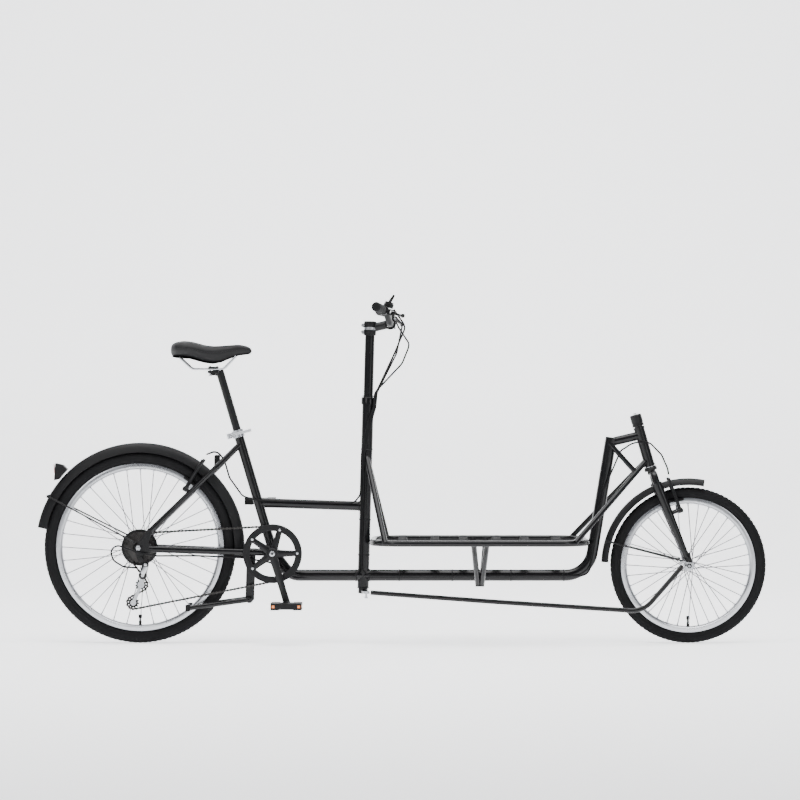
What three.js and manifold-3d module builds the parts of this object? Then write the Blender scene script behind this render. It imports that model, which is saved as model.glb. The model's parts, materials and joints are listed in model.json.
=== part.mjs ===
// A long two-wheeled cargo bicycle: the rider sits over the rear wheel, the load lies on a low tubular
// platform between the steering column and the front wheel, and a tie rod turns the fork.
// Millimetres. x runs forward from the rear axle, y to the rider's left, z up from the ground.
import * as THREE from "three";
import { mergeVertices } from "three/addons/utils/BufferGeometryUtils.js";
import Module from "manifold-3d";

const wasm = await Module();
wasm.setup();

// ---- driving dimensions ----
const gap = 0.3; // between pieces that touch
const tubeSides = 10;
const wheelSides = 32;
const roundSides = 12; // of bores, collars and turned ends
const mergeTolerance = 1e-3;

const wheelbase = 1865;
const rearWheel = { radius: 326, width: 47, bead: 279.7, rimOuter: 285.5, rimInner: 264, rimHalf: 12.5 };
const frontWheel = { radius: 265, width: 39, bead: 223.5, rimOuter: 229, rimInner: 208, rimHalf: 12 };
const spokes = 36;
const spokeRadius = 1.1;

const bracket = { x: 453, z: 306 }; // bottom bracket
const seatTubeTop = { x: 331, z: 720 };
const seatTubeRadius = 16;
const seatPostTop = 927;
const clampBoltBack = 30; // of the seat clamp's bolt behind the tube's axis
const boomRadius = 19.5;
const boomHeight = 230;
const boomBend = 94;
const uprightFoot = 1526.6; // where the upright's axis would meet the boom's
const uprightTop = { x: 1603.5, z: 698 };

const column = { x: 763, z: 347, lean: THREE.MathUtils.degToRad(1.55), tube: 19.5, inner: 16.4 };
const columnBottom = 168;
const columnTop = 1088;
const steeringTube = { bottom: 190, top: 812, collarTop: 836, collar: 23.5 };

const headAxis = { x: 1738, z: 592, lean: THREE.MathUtils.degToRad(16), bottom: 602, top: 735 };
const headTubeRadius = 18;
const steererRadius = 14.2;

const platform = { z: 347, halfWidth: 209.5, rail: 10.5, corner: 100, barWidth: 30, barDepth: 14 };
const platformBars = [893, 1003, 1100, 1212, 1309, 1417];
const hangerAt = 1156;

const bar = { x: 851, z: 1086, radius: 11.1, endX: 809, endZ: 1137, halfWidth: 289 };
const steerArm = { ahead: 13, out: 75 }; // of both tie rod pins from their steering axes
const crankLength = 180;
const crankAngle = THREE.MathUtils.degToRad(16.5); // of the right crank, forward of straight down
const chainring = { y: -50, pitch: 93, guard: 100, inner: 78 };
const cogs = { first: -30, spacing: 5, radii: [53, 44, 40, 36, 33, 29.5, 26] };
const chainCog = { y: -35, pitch: 48.5 };
const jockey = { radius: 22, upper: { x: 6, z: 200 }, lower: { x: -20, z: 139 } };
const cagePivot = { x: 14, z: 233 };
const rearBrake = { x: 157, z: 525, topX: 216, topZ: 624, y: 42 };
const frontBrake = { x: 1836, z: 452, topX: 1797, topZ: 562, y: 41 };
const standPivot = { x: 371, z: 149 };
const cableRadius = 2.4;
const cableBend = 20;

// ---- places ----
const at = (x, z, y = 0) => new THREE.Vector3(x, y, z);
const sides = { right: -1, left: 1 };
const rearAxle = at(0, rearWheel.radius);
const frontAxle = at(wheelbase, frontWheel.radius);
const columnAt = (z, y = 0) => at(column.x + (z - column.z) * Math.tan(column.lean), z, y);
const headAt = (z, y = 0) => at(headAxis.x - (z - headAxis.z) * Math.tan(headAxis.lean), z, y);
const headUp = at(-Math.sin(headAxis.lean), Math.cos(headAxis.lean));
const headForward = at(Math.cos(headAxis.lean), Math.sin(headAxis.lean));
const columnUp = at(Math.sin(column.lean), Math.cos(column.lean));
const seatFoot = at(bracket.x, bracket.z);
const seatTop = at(seatTubeTop.x, seatTubeTop.z);
const seatUp = seatTop.clone().sub(seatFoot).normalize();
const onSeatTube = (z) => seatFoot.clone().addScaledVector(seatUp, (z - bracket.z) / seatUp.z);
const uprightSlope = (uprightTop.x - uprightFoot) / (uprightTop.z - boomHeight);
const uprightAt = (z) => at(uprightFoot + (z - boomHeight) * uprightSlope, z);
const mirrored = (p, side) => new THREE.Vector3(p.x, p.y * side, p.z);
const moved = (p, direction, distance) => p.clone().addScaledVector(direction, distance);

// ---- solids ----
function solidOf(geometry) {
  const loose = geometry.index ? geometry.toNonIndexed() : geometry;
  const bare = new THREE.BufferGeometry().setAttribute("position", loose.getAttribute("position"));
  const merged = mergeVertices(bare, mergeTolerance);
  const vertProperties = merged.attributes.position.array;
  const triVerts = new Uint32Array(merged.index.array);
  return new wasm.Manifold(new wasm.Mesh({ numProp: 3, vertProperties, triVerts }));
}

const join = (...solids) => solids.flat().reduce((whole, next) => whole.add(next));
const cut = (solid, ...cutters) => cutters.flat().reduce((rest, next) => rest.subtract(next), solid);

// A straight round bar between two points, tapered when the second radius differs.
function rod(a, b, radiusA, radiusB = radiusA, count = tubeSides) {
  const geometry = new THREE.CylinderGeometry(radiusB, radiusA, a.distanceTo(b), count);
  const along = b.clone().sub(a).normalize();
  geometry.applyQuaternion(new THREE.Quaternion().setFromUnitVectors(new THREE.Vector3(0, 1, 0), along));
  const middle = a.clone().lerp(b, 0.5);
  return solidOf(geometry.translate(middle.x, middle.y, middle.z));
}

const cross = (x, z, y0, y1, radius, count) => rod(at(x, z, y0), at(x, z, y1), radius, radius, count);

function block(centre, size, pitch = 0) {
  const geometry = new THREE.BoxGeometry(size.x, size.y, size.z).rotateY(pitch);
  return solidOf(geometry.translate(centre.x, centre.y, centre.z));
}

// A plate drawn in the side view, from y0 to y1.
function plate(outline, y0, y1) {
  const shape = new THREE.Shape(outline.map(([x, z]) => new THREE.Vector2(x, z)));
  const geometry = new THREE.ExtrudeGeometry(shape, { depth: y1 - y0, bevelEnabled: false });
  return solidOf(geometry.rotateX(Math.PI / 2).translate(0, y1, 0));
}

// A turned ring about the lateral axis through a centre; the profile is [radius, y] and closes on itself.
function turned(centre, profile, count) {
  const points = [...profile, profile[0]].map(([r, y]) => new THREE.Vector2(r, y));
  const geometry = new THREE.LatheGeometry(points, count);
  return solidOf(geometry.translate(centre.x, centre.y, centre.z));
}

// A path through stations; its parameter runs evenly from station to station.
class Stations extends THREE.Curve {
  constructor(points) {
    super();
    this.points = points;
  }
  getUtoTmapping(u) {
    return u;
  }
  getPoint(t, target = new THREE.Vector3()) {
    const last = this.points.length - 1;
    const i = Math.min(Math.floor(t * last), last - 1);
    return target.lerpVectors(this.points[i], this.points[i + 1], t * last - i);
  }
  getTangent(t, target = new THREE.Vector3()) {
    const last = this.points.length - 1;
    const i = Math.round(t * last);
    const before = this.points[Math.max(i - 1, 0)];
    const here = this.points[i];
    const after = this.points[Math.min(i + 1, last)];
    const arriving = here.clone().sub(before).normalize();
    const leaving = after.clone().sub(here).normalize();
    return target.copy(arriving).add(leaving).normalize();
  }
}

function swept(points, section) {
  const shape = new THREE.Shape(section.map(([x, y]) => new THREE.Vector2(x, y)));
  const extrudePath = new Stations(points);
  const options = { steps: points.length - 1, bevelEnabled: false, extrudePath };
  return solidOf(new THREE.ExtrudeGeometry(shape, options));
}

function oval(halfX, halfY, count) {
  return Array.from({ length: count }, (_, i) => {
    const angle = (2 * Math.PI * (i + 0.5)) / count;
    return [halfX * Math.cos(angle), halfY * Math.sin(angle)];
  });
}

const tube = (points, radius, count = tubeSides) => swept(points, oval(radius, radius, count));

// Corner points with each inner corner rounded to a bend radius.
function rounded(corners, radius, stepDegrees = 18) {
  const stations = [corners[0]];
  for (let i = 1; i < corners.length - 1; i += 1) {
    const into = corners[i].clone().sub(corners[i - 1]).normalize();
    const out = corners[i + 1].clone().sub(corners[i]).normalize();
    const angle = into.angleTo(out);
    const axis = into.clone().cross(out).normalize();
    const start = moved(corners[i], into, -radius * Math.tan(angle / 2));
    const inward = axis.clone().cross(into).normalize();
    const centre = moved(start, inward, radius);
    const steps = Math.max(1, Math.ceil(angle / THREE.MathUtils.degToRad(stepDegrees)));
    for (let k = 0; k <= steps; k += 1) {
      const spoke = inward.clone().multiplyScalar(-radius).applyAxisAngle(axis, (angle * k) / steps);
      stations.push(centre.clone().add(spoke));
    }
  }
  stations.push(corners.at(-1));
  return stations;
}

// Points on an arc in the side view; angles in degrees from straight ahead, turning upward.
function arc(centre, radius, from, to, steps) {
  return Array.from({ length: steps + 1 }, (_, i) => {
    const angle = THREE.MathUtils.degToRad(from + ((to - from) * i) / steps);
    return at(centre.x + radius * Math.cos(angle), centre.z + radius * Math.sin(angle), centre.y);
  });
}

// ---- frame members, also grown by the gap as cutters for what is welded to them ----
const seatTubeRod = (extra = 0) => rod(seatFoot, seatTop, seatTubeRadius + extra, undefined, roundSides);
const shellRod = (extra = 0) => cross(bracket.x, bracket.z, -34 - extra, 34 + extra, 21 + extra, roundSides);
const steeringTubeRod = (extra = 0) =>
  rod(columnAt(steeringTube.bottom), columnAt(steeringTube.top), column.tube + extra, undefined, roundSides);
const headTubeRod = (extra = 0) =>
  rod(headAt(headAxis.bottom), headAt(headAxis.top), headTubeRadius + extra, undefined, roundSides);

function boomPath() {
  const corners = [columnAt(boomHeight), at(uprightFoot, boomHeight), at(uprightTop.x, uprightTop.z)];
  corners[0].z = boomHeight;
  return rounded(corners, boomBend);
}
const boomTube = (extra = 0) => tube(boomPath(), boomRadius + extra);

function seatTube() {
  const drop = THREE.MathUtils.degToRad(52);
  const elbow = at(bracket.x + (bracket.z - boomHeight) / Math.tan(drop), boomHeight);
  const rearBoom = tube(rounded([seatFoot, elbow, at(columnAt(boomHeight).x, boomHeight)], 60), boomRadius);
  const postBore = rod(onSeatTube(480), onSeatTube(740), 14.4, undefined, roundSides);
  const spindleBore = cross(bracket.x, bracket.z, -60, 60, 10, roundSides);
  return cut(join(seatTubeRod(), shellRod(), rearBoom), steeringTubeRod(gap), postBore, spindleBore);
}

const dropoutOutline = [
  [-16, 330],
  [-10, 308],
  [14, 304],
  [46, 312],
  [46, 332],
  [34, 346],
  [50, 384],
  [32, 392],
  [8, 352],
];
const dropoutFaces = [64.5, 70.5];
function dropout(side, extra = 0) {
  const [inner, outer] = [dropoutFaces[0] - extra, dropoutFaces[1] + extra];
  return side > 0 ? plate(dropoutOutline, inner, outer) : plate(dropoutOutline, -outer, -inner);
}

function seatStays() {
  const stays = Object.values(sides).map((side) => {
    const corners = [at(343, 679, 5), at(262, 598, 43), at(120, 461, 48), at(40, 384, 67.5)];
    const stay = tube(rounded(corners.map((p) => mirrored(p, side)), 60, 45), 9.5, 8);
    const boss = rod(...bossEnds(rearBrake, side, -24, 11), 5);
    return join(stay, boss);
  });
  const bridge = cross(262, 598, -43, 43, 7);
  const tab = plate([[252, 600], [272, 600], [272, 640], [252, 640]], -3, 3);
  const tabHole = cross(262, 630, -9, 9, 3);
  const trimmed = cut(join(stays, bridge, tab), tabHole, seatTubeRod(gap));
  return cut(trimmed, dropout(1, gap), dropout(-1, gap), cross(0, rearWheel.radius, -90, 90, 11));
}

// A brake boss stands square to its arm; these are its ends, measured along that direction.
function bossEnds(brake, side, from, to) {
  const arm = at(brake.topX - brake.x, brake.topZ - brake.z).normalize();
  const out = brake === rearBrake ? at(-arm.z, arm.x) : at(arm.z, -arm.x);
  const pivot = at(brake.x, brake.z, brake.y * side);
  return [moved(pivot, out, from), moved(pivot, out, to)];
}

function chainStays() {
  const halves = Object.values(sides).map((side) => {
    const corners = [at(40, 322, 66), at(200, 316, 51), at(345, 311, 37.5), at(bracket.x - 10, 307, 24)];
    const path = rounded(corners.map((p) => mirrored(p, side)), 120, 30);
    return join(swept(path, oval(11, 8.5, 8)), dropout(side));
  });
  const bridge = cross(385, 309, -34, 34, 8);
  const hanger = plate([[358, 146], [388, 146], [393, 305], [363, 305]], -4, 4);
  const eye = cross(standPivot.x, standPivot.z, -4, 4, 14, 16);
  const eyeBore = cross(standPivot.x, standPivot.z, -9, 9, 8.6, 16);
  const axleBore = cross(0, rearWheel.radius, -90, 90, 5.5);
  return cut(join(halves, bridge, hanger, eye), eyeBore, axleBore, shellRod(gap), seatTubeRod(gap));
}

function midTube() {
  const height = 471;
  return cut(rod(onSeatTube(height + 6), columnAt(height - 6), 16), seatTubeRod(gap), steeringTubeRod(gap));
}

function steeringTubeSolid() {
  const collar = rod(
    columnAt(steeringTube.top - 1),
    columnAt(steeringTube.collarTop),
    steeringTube.collar,
    undefined,
    roundSides,
  );
  const bore = rod(
    columnAt(steeringTube.bottom - 9),
    columnAt(steeringTube.collarTop + 9),
    column.inner + 0.7,
    undefined,
    roundSides,
  );
  return cut(join(steeringTubeRod(), collar), bore);
}

const mainBoom = () => cut(boomTube(), steeringTubeRod(gap));

function headTube() {
  const topTube = rod(uprightAt(683), headAt(707), 15);
  const bore = rod(
    headAt(headAxis.bottom - 30),
    headAt(headAxis.top + 30),
    steererRadius + 0.7,
    undefined,
    roundSides,
  );
  return cut(join(headTubeRod(), cut(topTube, boomTube(gap))), bore);
}

function platformLoop(radius) {
  const rearX = columnAt(platform.z).x + column.tube + gap + platform.rail;
  const frontX = uprightAt(platform.z).x - boomRadius - 1 - gap - platform.rail;
  const middleX = (rearX + frontX) / 2;
  const halves = [rearX, frontX].map((x) => {
    const corners = [
      at(middleX, platform.z, -1),
      at(x, platform.z, -1),
      at(x, platform.z, 1),
      at(middleX, platform.z, 1),
    ];
    corners.forEach((p) => {
      p.y *= platform.halfWidth;
    });
    return tube(rounded(corners, platform.corner, 30), radius);
  });
  return join(halves);
}

function cargoPlatform() {
  const top = platform.z + platform.rail;
  const bars = platformBars.map((x) => {
    const size = new THREE.Vector3(platform.barWidth, 2 * platform.halfWidth, platform.barDepth);
    return block(at(x, top - platform.barDepth / 2), size);
  });
  return join(platformLoop(platform.rail), bars);
}

function platformHanger() {
  const legs = Object.values(sides).flatMap((side) =>
    [-1, 1].map((end) => {
      const top = at(hangerAt + 22 * end, platform.z - 2, (platform.halfWidth - 2) * side);
      return rod(top, at(hangerAt + 7 * end, 201, 24 * side), 7, undefined, 8);
    }),
  );
  const saddleBar = block(at(hangerAt, 201), new THREE.Vector3(30, 60, 17));
  return cut(join(legs, saddleBar), platformLoop(platform.rail + gap), boomTube(gap));
}

function columnBrace(side) {
  const brace = rod(columnAt(636, 8 * side), at(837, platform.z, 196 * side), 9.5);
  return cut(brace, steeringTubeRod(gap), platformLoop(platform.rail + gap));
}

const onTruss = (share, side) => mirrored(at(1472, platform.z, 203).lerp(at(1718, 616, 14), share), side);

function frontTruss(side) {
  const truss = rod(onTruss(0, side), onTruss(1, side), 9);
  const topEnd = uprightAt(677);
  topEnd.y = 14 * side;
  const brace = rod(topEnd, onTruss(0.87, side), 8);
  const neighbours = [platformLoop(platform.rail + gap), headTubeRod(gap), boomTube(gap), headTube()];
  return cut(join(truss, brace), neighbours);
}

const clampBack = at(-seatUp.z, seatUp.x);
const clampBolt = moved(onSeatTube(712), clampBack, clampBoltBack);

function seatClamp() {
  const collar = rod(onSeatTube(700), onSeatTube(724), 21, undefined, roundSides);
  const ear = block(
    moved(clampBolt, clampBack, -2),
    new THREE.Vector3(20, 20, 16),
    Math.atan2(seatUp.x, seatUp.z),
  );
  const bolt = cross(clampBolt.x, clampBolt.z, -22.5, 15, 3, 8);
  const nut = cross(clampBolt.x, clampBolt.z, 9, 15, 7, 6);
  const tubeBore = rod(onSeatTube(690), onSeatTube(740), seatTubeRadius + 2 * gap, undefined, roundSides);
  return cut(join(collar, ear, bolt, nut), tubeBore);
}

// ---- fenders ----
function fenderSection(halfWidth, depth, wall) {
  const outer = [
    [1, -depth],
    [1, -depth * 0.35],
    [0.62, -depth * 0.08],
    [-0.62, -depth * 0.08],
    [-1, -depth * 0.35],
    [-1, -depth],
  ];
  const last = outer.length - 1;
  const inner = outer.toReversed().map(([w, h], i) => {
    const atEdge = i === 0 || i === last;
    return [w * (halfWidth - wall), atEdge ? h : h - wall];
  });
  return [...outer.map(([w, h]) => [w * halfWidth, h]), ...inner];
}

function rearFender() {
  const shell = swept(arc(rearAxle, 356, -6, 169, 18), fenderSection(27.5, 26, 2.5));
  const stays = Object.values(sides).map((side) =>
    rod(at(-310, 499, 27 * side), at(-14, 346, 74 * side), 2.5, undefined, 6),
  );
  return join(shell, stays);
}

function frontFender() {
  const shell = swept(arc(frontAxle, 297, 79, 178, 11), fenderSection(25, 20, 2.5));
  const stays = Object.values(sides).map((side) =>
    rod(at(1590, 346, 24.5 * side), at(1838, 282, 56 * side), 2.5, undefined, 6),
  );
  return join(shell, stays);
}

const rearReflector = () => plate([[-287, 612], [-292, 553], [-276, 557], [-247, 591], [-262, 606]], -22, 22);

// ---- wheels ----
function tyre(axle, wheel) {
  const half = wheel.width / 2;
  const low = wheel.rimOuter + 1;
  const tall = wheel.radius - low;
  const right = [
    [wheel.bead + gap, 8],
    [low, 10],
    [low + tall * 0.5, half],
    [wheel.radius, half * 0.4],
  ];
  return turned(axle, [...right.map(([r, y]) => [r, -y]), ...right.toReversed()], wheelSides);
}

function rim(axle, wheel) {
  const half = [
    [wheel.rimInner, 6],
    [wheel.rimInner + 8, wheel.rimHalf],
    [wheel.rimOuter, wheel.rimHalf],
    [wheel.bead, 9],
  ];
  return turned(axle, [...half.map(([r, y]) => [r, -y]), ...half.toReversed()], wheelSides);
}

// Hub shell with laced spokes: each spoke leaves its flange hole at a tangent and ends just inside the rim.
function hub(axle, wheel, shell) {
  const flange = (y) => [[12, y - 3.5], [shell.flange, y - 3.5], [shell.flange, y + 3.5], [12, y + 3.5]];
  const profile = [
    [shell.bore, shell.ends[0]],
    [9, shell.ends[0]],
    ...flange(shell.flanges[0]),
    ...flange(shell.flanges[1]),
  ];
  const body = turned(axle, [...profile, [9, shell.ends[1]], [shell.bore, shell.ends[1]]], 12);
  const step = (2 * Math.PI) / spokes;
  const lacing = (6 * 2 * Math.PI) / spokes;
  const rimReach = wheel.rimInner * Math.cos(Math.PI / wheelSides) - 2 * gap;
  const laced = Array.from({ length: spokes }, (_, i) => {
    const rimAngle = step * i;
    const lead = Math.floor(i / 2) % 2 ? 1 : -1;
    const hubAngle = rimAngle + lead * lacing;
    const y = shell.flanges[i % 2] + lead * 2.4;
    const point = (radius, angle, across) =>
      at(axle.x + radius * Math.sin(angle), axle.z + radius * Math.cos(angle), across);
    const head = point(shell.flange - 3, hubAngle, y);
    return rod(head, point(rimReach, rimAngle, y * 0.02), spokeRadius, undefined, 3);
  });
  return join(body, laced);
}

function freewheel() {
  const steps = cogs.radii.flatMap((radius, i) => {
    const y = cogs.first - cogs.spacing * i;
    return [[radius, i ? y + cogs.spacing - 1 : y + 1], [radius, y - 1]];
  });
  const bore = 13.5;
  const outer = [...steps, [bore, steps.at(-1)[1]], [bore, cogs.first + 1]];
  return turned(rearAxle, outer.toReversed(), 18);
}

function rearAxleSet() {
  const axle = cross(0, rearAxle.z, -86, 82, 5, 10);
  const nuts = [cross(0, rearAxle.z, -82, -75, 9, 6), cross(0, rearAxle.z, 71, 78, 9, 6)];
  const hangerPlate = plate([[-12, 334], [12, 334], [18, 300], [17, 278], [1, 278], [-8, 304]], -74.8, -70.8);
  const topKnuckle = cross(9, 288, -86, -72, 9);
  return join(axle, nuts, hangerPlate, topKnuckle);
}

function frontAxleSet() {
  const axle = cross(frontAxle.x, frontAxle.z, -72, 58, 4.5, 10);
  const nuts = [
    cross(frontAxle.x, frontAxle.z, -70, -63.5, 9, 6),
    cross(frontAxle.x, frontAxle.z, 51.8, 57, 9, 6),
  ];
  const pin = tieRodFrontPin();
  const lugOutline = [
    [frontAxle.x - 12, frontAxle.z + 14],
    [frontAxle.x + 13, frontAxle.z + 10],
    [frontAxle.x + 13, frontAxle.z - 10],
  ];
  lugOutline.push([frontAxle.x - 12, frontAxle.z - 14], [pin.x - 8, pin.z - 13], [pin.x - 8, pin.z + 13]);
  const lug = plate(lugOutline, -63.5, -58.5);
  const spacer = cross(frontAxle.x, frontAxle.z, -59, -51.8, 10);
  const earMiddle = moved(pin, headUp, 10.5);
  const ear = block(at(earMiddle.x, earMiddle.z, -71), new THREE.Vector3(18, 24, 5), -headAxis.lean);
  const pinRod = rod(moved(pin, headUp, -12), moved(pin, headUp, 12), 4, undefined, 8);
  return join(axle, nuts, lug, spacer, ear, pinRod);
}

// ---- steering ----
function tieRodFrontPin() {
  const pin = moved(headAt(frontAxle.z), headForward, steerArm.ahead);
  pin.y = -steerArm.out;
  return pin;
}

function tieRodRearPin() {
  return at(columnAt(176).x + steerArm.ahead, 176, -steerArm.out);
}

function steeringColumn() {
  const inside = rod(
    columnAt(columnBottom + 30),
    columnAt(columnTop + 9),
    column.inner - 2.6,
    undefined,
    roundSides,
  );
  const shaft = cut(
    rod(columnAt(columnBottom), columnAt(columnTop), column.inner, undefined, roundSides),
    inside,
  );
  const pin = tieRodRearPin();
  const root = columnAt(176);
  const middle = root.clone().lerp(pin, 0.5);
  const angle = Math.atan2(pin.x - root.x, root.y - pin.y);
  const arm = new THREE.BoxGeometry(22, root.distanceTo(pin), 8).rotateZ(angle);
  arm.translate(middle.x, middle.y, middle.z);
  const eye = rod(moved(pin, columnUp, -4), moved(pin, columnUp, 4), 11, undefined, roundSides);
  const bolt = rod(moved(pin, columnUp, -20), moved(pin, columnUp, 9), 6.5, undefined, 6);
  return join(shaft, solidOf(arm), eye, bolt);
}

function tieRod() {
  const rear = tieRodRearPin();
  const front = tieRodFrontPin();
  const corners = [at(rear.x + 16, 175.3, -steerArm.out), at(1180, 150, -140), at(1704, 116, -140), front];
  const eyeCore = rod(moved(front, headUp, -7.2), moved(front, headUp, 7.2), 10, undefined, 12);
  const pinBore = rod(moved(front, headUp, -20), moved(front, headUp, 20), 4.6, undefined, 12);
  return cut(join(tube(rounded(corners, 70), 8, 10), eyeCore), pinBore);
}

function stem() {
  const clamp = rod(columnAt(1047), columnAt(1092), column.inner + 5, undefined, roundSides);
  const barClamp = cross(bar.x, bar.z, -22, 22, 20, 16);
  const reach = rod(columnAt(1070), at(bar.x, bar.z), 15);
  const bolts = [1058, 1081].map((z) => cross(columnAt(z).x - 24, z, -12, 12, 6.5, 8));
  const columnBore = rod(columnAt(1000), columnAt(1120), column.inner + gap + 0.2, undefined, roundSides);
  const barBore = cross(bar.x, bar.z, -30, 30, 13.3, 16);
  return cut(join(clamp, barClamp, reach, bolts), columnBore, barBore);
}

const gripStart = at(838, 1127, 104);
const gripEnd = at(bar.endX, bar.endZ, bar.halfWidth);
const barBends = () => [at(bar.x, bar.z, 48), gripStart, gripEnd];

// A point on the outer, swept stretch of the handlebar.
function onGrip(y, side) {
  const share = (y - gripStart.y) / (gripEnd.y - gripStart.y);
  return mirrored(gripStart.clone().lerp(gripEnd, share), side);
}

function handlebar() {
  const half = barBends();
  const corners = [...half.toReversed().map((p) => mirrored(p, -1)), ...half];
  return join(tube(rounded(corners, 40, 20), bar.radius), cross(bar.x, bar.z, -24, 24, 12.7));
}

function grip(side) {
  const bore = rod(onGrip(150, side), onGrip(300, side), bar.radius + 1.2);
  return cut(rod(onGrip(172, side), onGrip(290, side), 15, 16), bore);
}

const leverPitch = { right: THREE.MathUtils.degToRad(18), left: THREE.MathUtils.degToRad(36) };
const leverForward = (name) => at(Math.cos(leverPitch[name]), -Math.sin(leverPitch[name]));
const leverUp = (name) => at(Math.sin(leverPitch[name]), Math.cos(leverPitch[name]));
const leverPivot = (name) => moved(onGrip(146, sides[name]), leverForward(name), 33);

function leverMount(name) {
  const side = sides[name];
  const ring = rod(onGrip(138, side), onGrip(154, side), 16);
  const pivot = leverPivot(name);
  const up = leverUp(name);
  const centre = moved(onGrip(146, side), leverForward(name), 20);
  const arm = rod(centre.clone(), moved(pivot, leverForward(name), -9), 8);
  const cheeks = [-1, 1].map((end) => rod(moved(pivot, up, 6.2 * end), moved(pivot, up, 10 * end), 10));
  const web = block(moved(centre, leverForward(name), 1), new THREE.Vector3(10, 16, 20), leverPitch[name]);
  const bore = rod(onGrip(120, side), onGrip(170, side), bar.radius + 1.2);
  const bladeRoom = rod(moved(pivot, up, -6), moved(pivot, up, 6), 13);
  return cut(join(ring, cut(join(arm, web), bladeRoom), cheeks), bore);
}

function brakeLever(name) {
  const side = sides[name];
  const pivot = leverPivot(name);
  const forward = leverForward(name);
  const up = leverUp(name);
  const outward = new THREE.Vector3(0, side, 0);
  const knee = moved(moved(pivot, forward, 26), outward, 24);
  const tip = moved(moved(pivot, forward, 36), outward, 104);
  const eye = rod(moved(pivot, up, -5.4), moved(pivot, up, 5.4), 8);
  const blade = tube(rounded([pivot, knee, tip], 20, 25), 4.6, 8);
  const ball = solidOf(new THREE.SphereGeometry(7.5, 10, 6).translate(tip.x, tip.y, tip.z));
  return join(eye, blade, ball);
}

const shifterAxis = at(Math.sin(0.3), Math.cos(0.3));
const shifterCentre = moved(onGrip(117, -1), at(0.55, 0.83), 21);

function shifterBody() {
  const disc = rod(
    moved(shifterCentre, shifterAxis, -7),
    moved(shifterCentre, shifterAxis, 7),
    17,
    undefined,
    roundSides,
  );
  const ring = rod(onGrip(118, -1), onGrip(131, -1), 15.5);
  const bore = rod(onGrip(112, -1), onGrip(150, -1), bar.radius + 1.2);
  return cut(join(disc, ring), bore);
}

function shiftLever() {
  const base = moved(shifterCentre, shifterAxis, 7.4);
  const disc = rod(base, moved(base, shifterAxis, 5), 15, undefined, 14);
  const fin = rod(moved(base, shifterAxis, 3), moved(moved(base, shifterAxis, 30), at(1, 0), 8), 6, 4, 8);
  return join(disc, fin);
}

const forkEnd = [[-13, 0], [-9, -11], [9, -11], [13, 0], [4, 44], [-20, 44]];

function fork() {
  const steerer = rod(headAt(575), headAt(headAxis.top + 44), steererRadius);
  const race = rod(headAt(586), headAt(headAxis.bottom - 2), 22, undefined, 14);
  const topNut = rod(headAt(headAxis.top + 1), headAt(headAxis.top + 44), 20, undefined, 14);
  const legTop = at(1757, 540, 42);
  const arch = [mirrored(legTop, -1), mirrored(at(1746, 577, 34), -1), at(1746, 577, 34), legTop];
  const crown = tube(rounded(arch, 22, 40), 12.5, 8);
  const legs = Object.values(sides).flatMap((side) => {
    const foot = at(frontAxle.x - 6, frontAxle.z + 26, 49);
    const leg = rod(mirrored(legTop, side), mirrored(foot, side), 12.6, 7, 8);
    const end = plate(
      forkEnd.map(([x, z]) => [frontAxle.x + x, frontAxle.z + z]),
      46.5,
      51.5,
    );
    const placed = side > 0 ? end : end.mirror([0, 1, 0]);
    const boss = rod(...bossEnds(frontBrake, side, -46, 11), 5);
    return [leg, placed, boss];
  });
  const axleBore = cross(frontAxle.x, frontAxle.z, -90, 90, 5);
  return cut(join(steerer, race, topNut, crown, legs), axleBore);
}

// ---- brakes ----
// The arm stands beside the wheel on its boss, and its pad faces the rim's side.
function brakeArm(brake, side, axle, wheel) {
  const pivot = at(brake.x, brake.z, brake.y * side);
  const top = at(brake.topX, brake.topZ, (brake.y - 3) * side);
  const along = top.clone().sub(pivot).normalize();
  const reach = wheel.rimOuter - 7;
  const fromAxle = pivot.clone().sub(axle).setY(0);
  const padRise = reach - fromAxle.length();
  const padCentre = moved(pivot, along, padRise + 3);
  const padY = wheel.rimHalf + 2.4 + 5;
  const tangent = at(fromAxle.z, -fromAxle.x).normalize();
  const pad = rod(
    moved(padCentre.clone().setY(padY * side), tangent, -26),
    moved(padCentre.clone().setY(padY * side), tangent, 26),
    5,
    undefined,
    8,
  );
  const post = rod(
    padCentre.clone().setY(padY * side),
    padCentre.clone().setY((brake.y + 8) * side),
    3.6,
    undefined,
    8,
  );
  const barrel = rod(...bossEnds(brake, side, -8, 8), 9);
  const bore = rod(...bossEnds(brake, side, -12, 14), 5.5);
  return cut(join(rod(pivot, top, 7, 5, 8), barrel, pad, post), bore);
}

// ---- drive ----
const spindle = (radius, y0, y1) => cross(bracket.x, bracket.z, y0, y1, radius, 12);
const crankReach = at(Math.sin(crankAngle), -Math.cos(crankAngle)).multiplyScalar(crankLength);
const pedalAt = (side) => at(bracket.x - side * crankReach.x, bracket.z - side * crankReach.z);

function crank(side) {
  const [inner, outer] = [62, 76];
  const end = pedalAt(side);
  const middle = side * ((inner + outer) / 2);
  const hubBoss = spindle(17, side * inner, side * outer);
  const pedalBoss = cross(end.x, end.z, side * inner, side * outer, 13);
  const arm = rod(at(bracket.x, bracket.z, middle), at(end.x, end.z, middle), 7, 6.6, 8);
  const solid = cut(join(hubBoss, pedalBoss, arm), cross(end.x, end.z, -200, 200, 5.2));
  return side > 0 ? join(solid, spindle(9, -72, 70)) : cut(solid, spindle(9.5, -90, -50));
}

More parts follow.
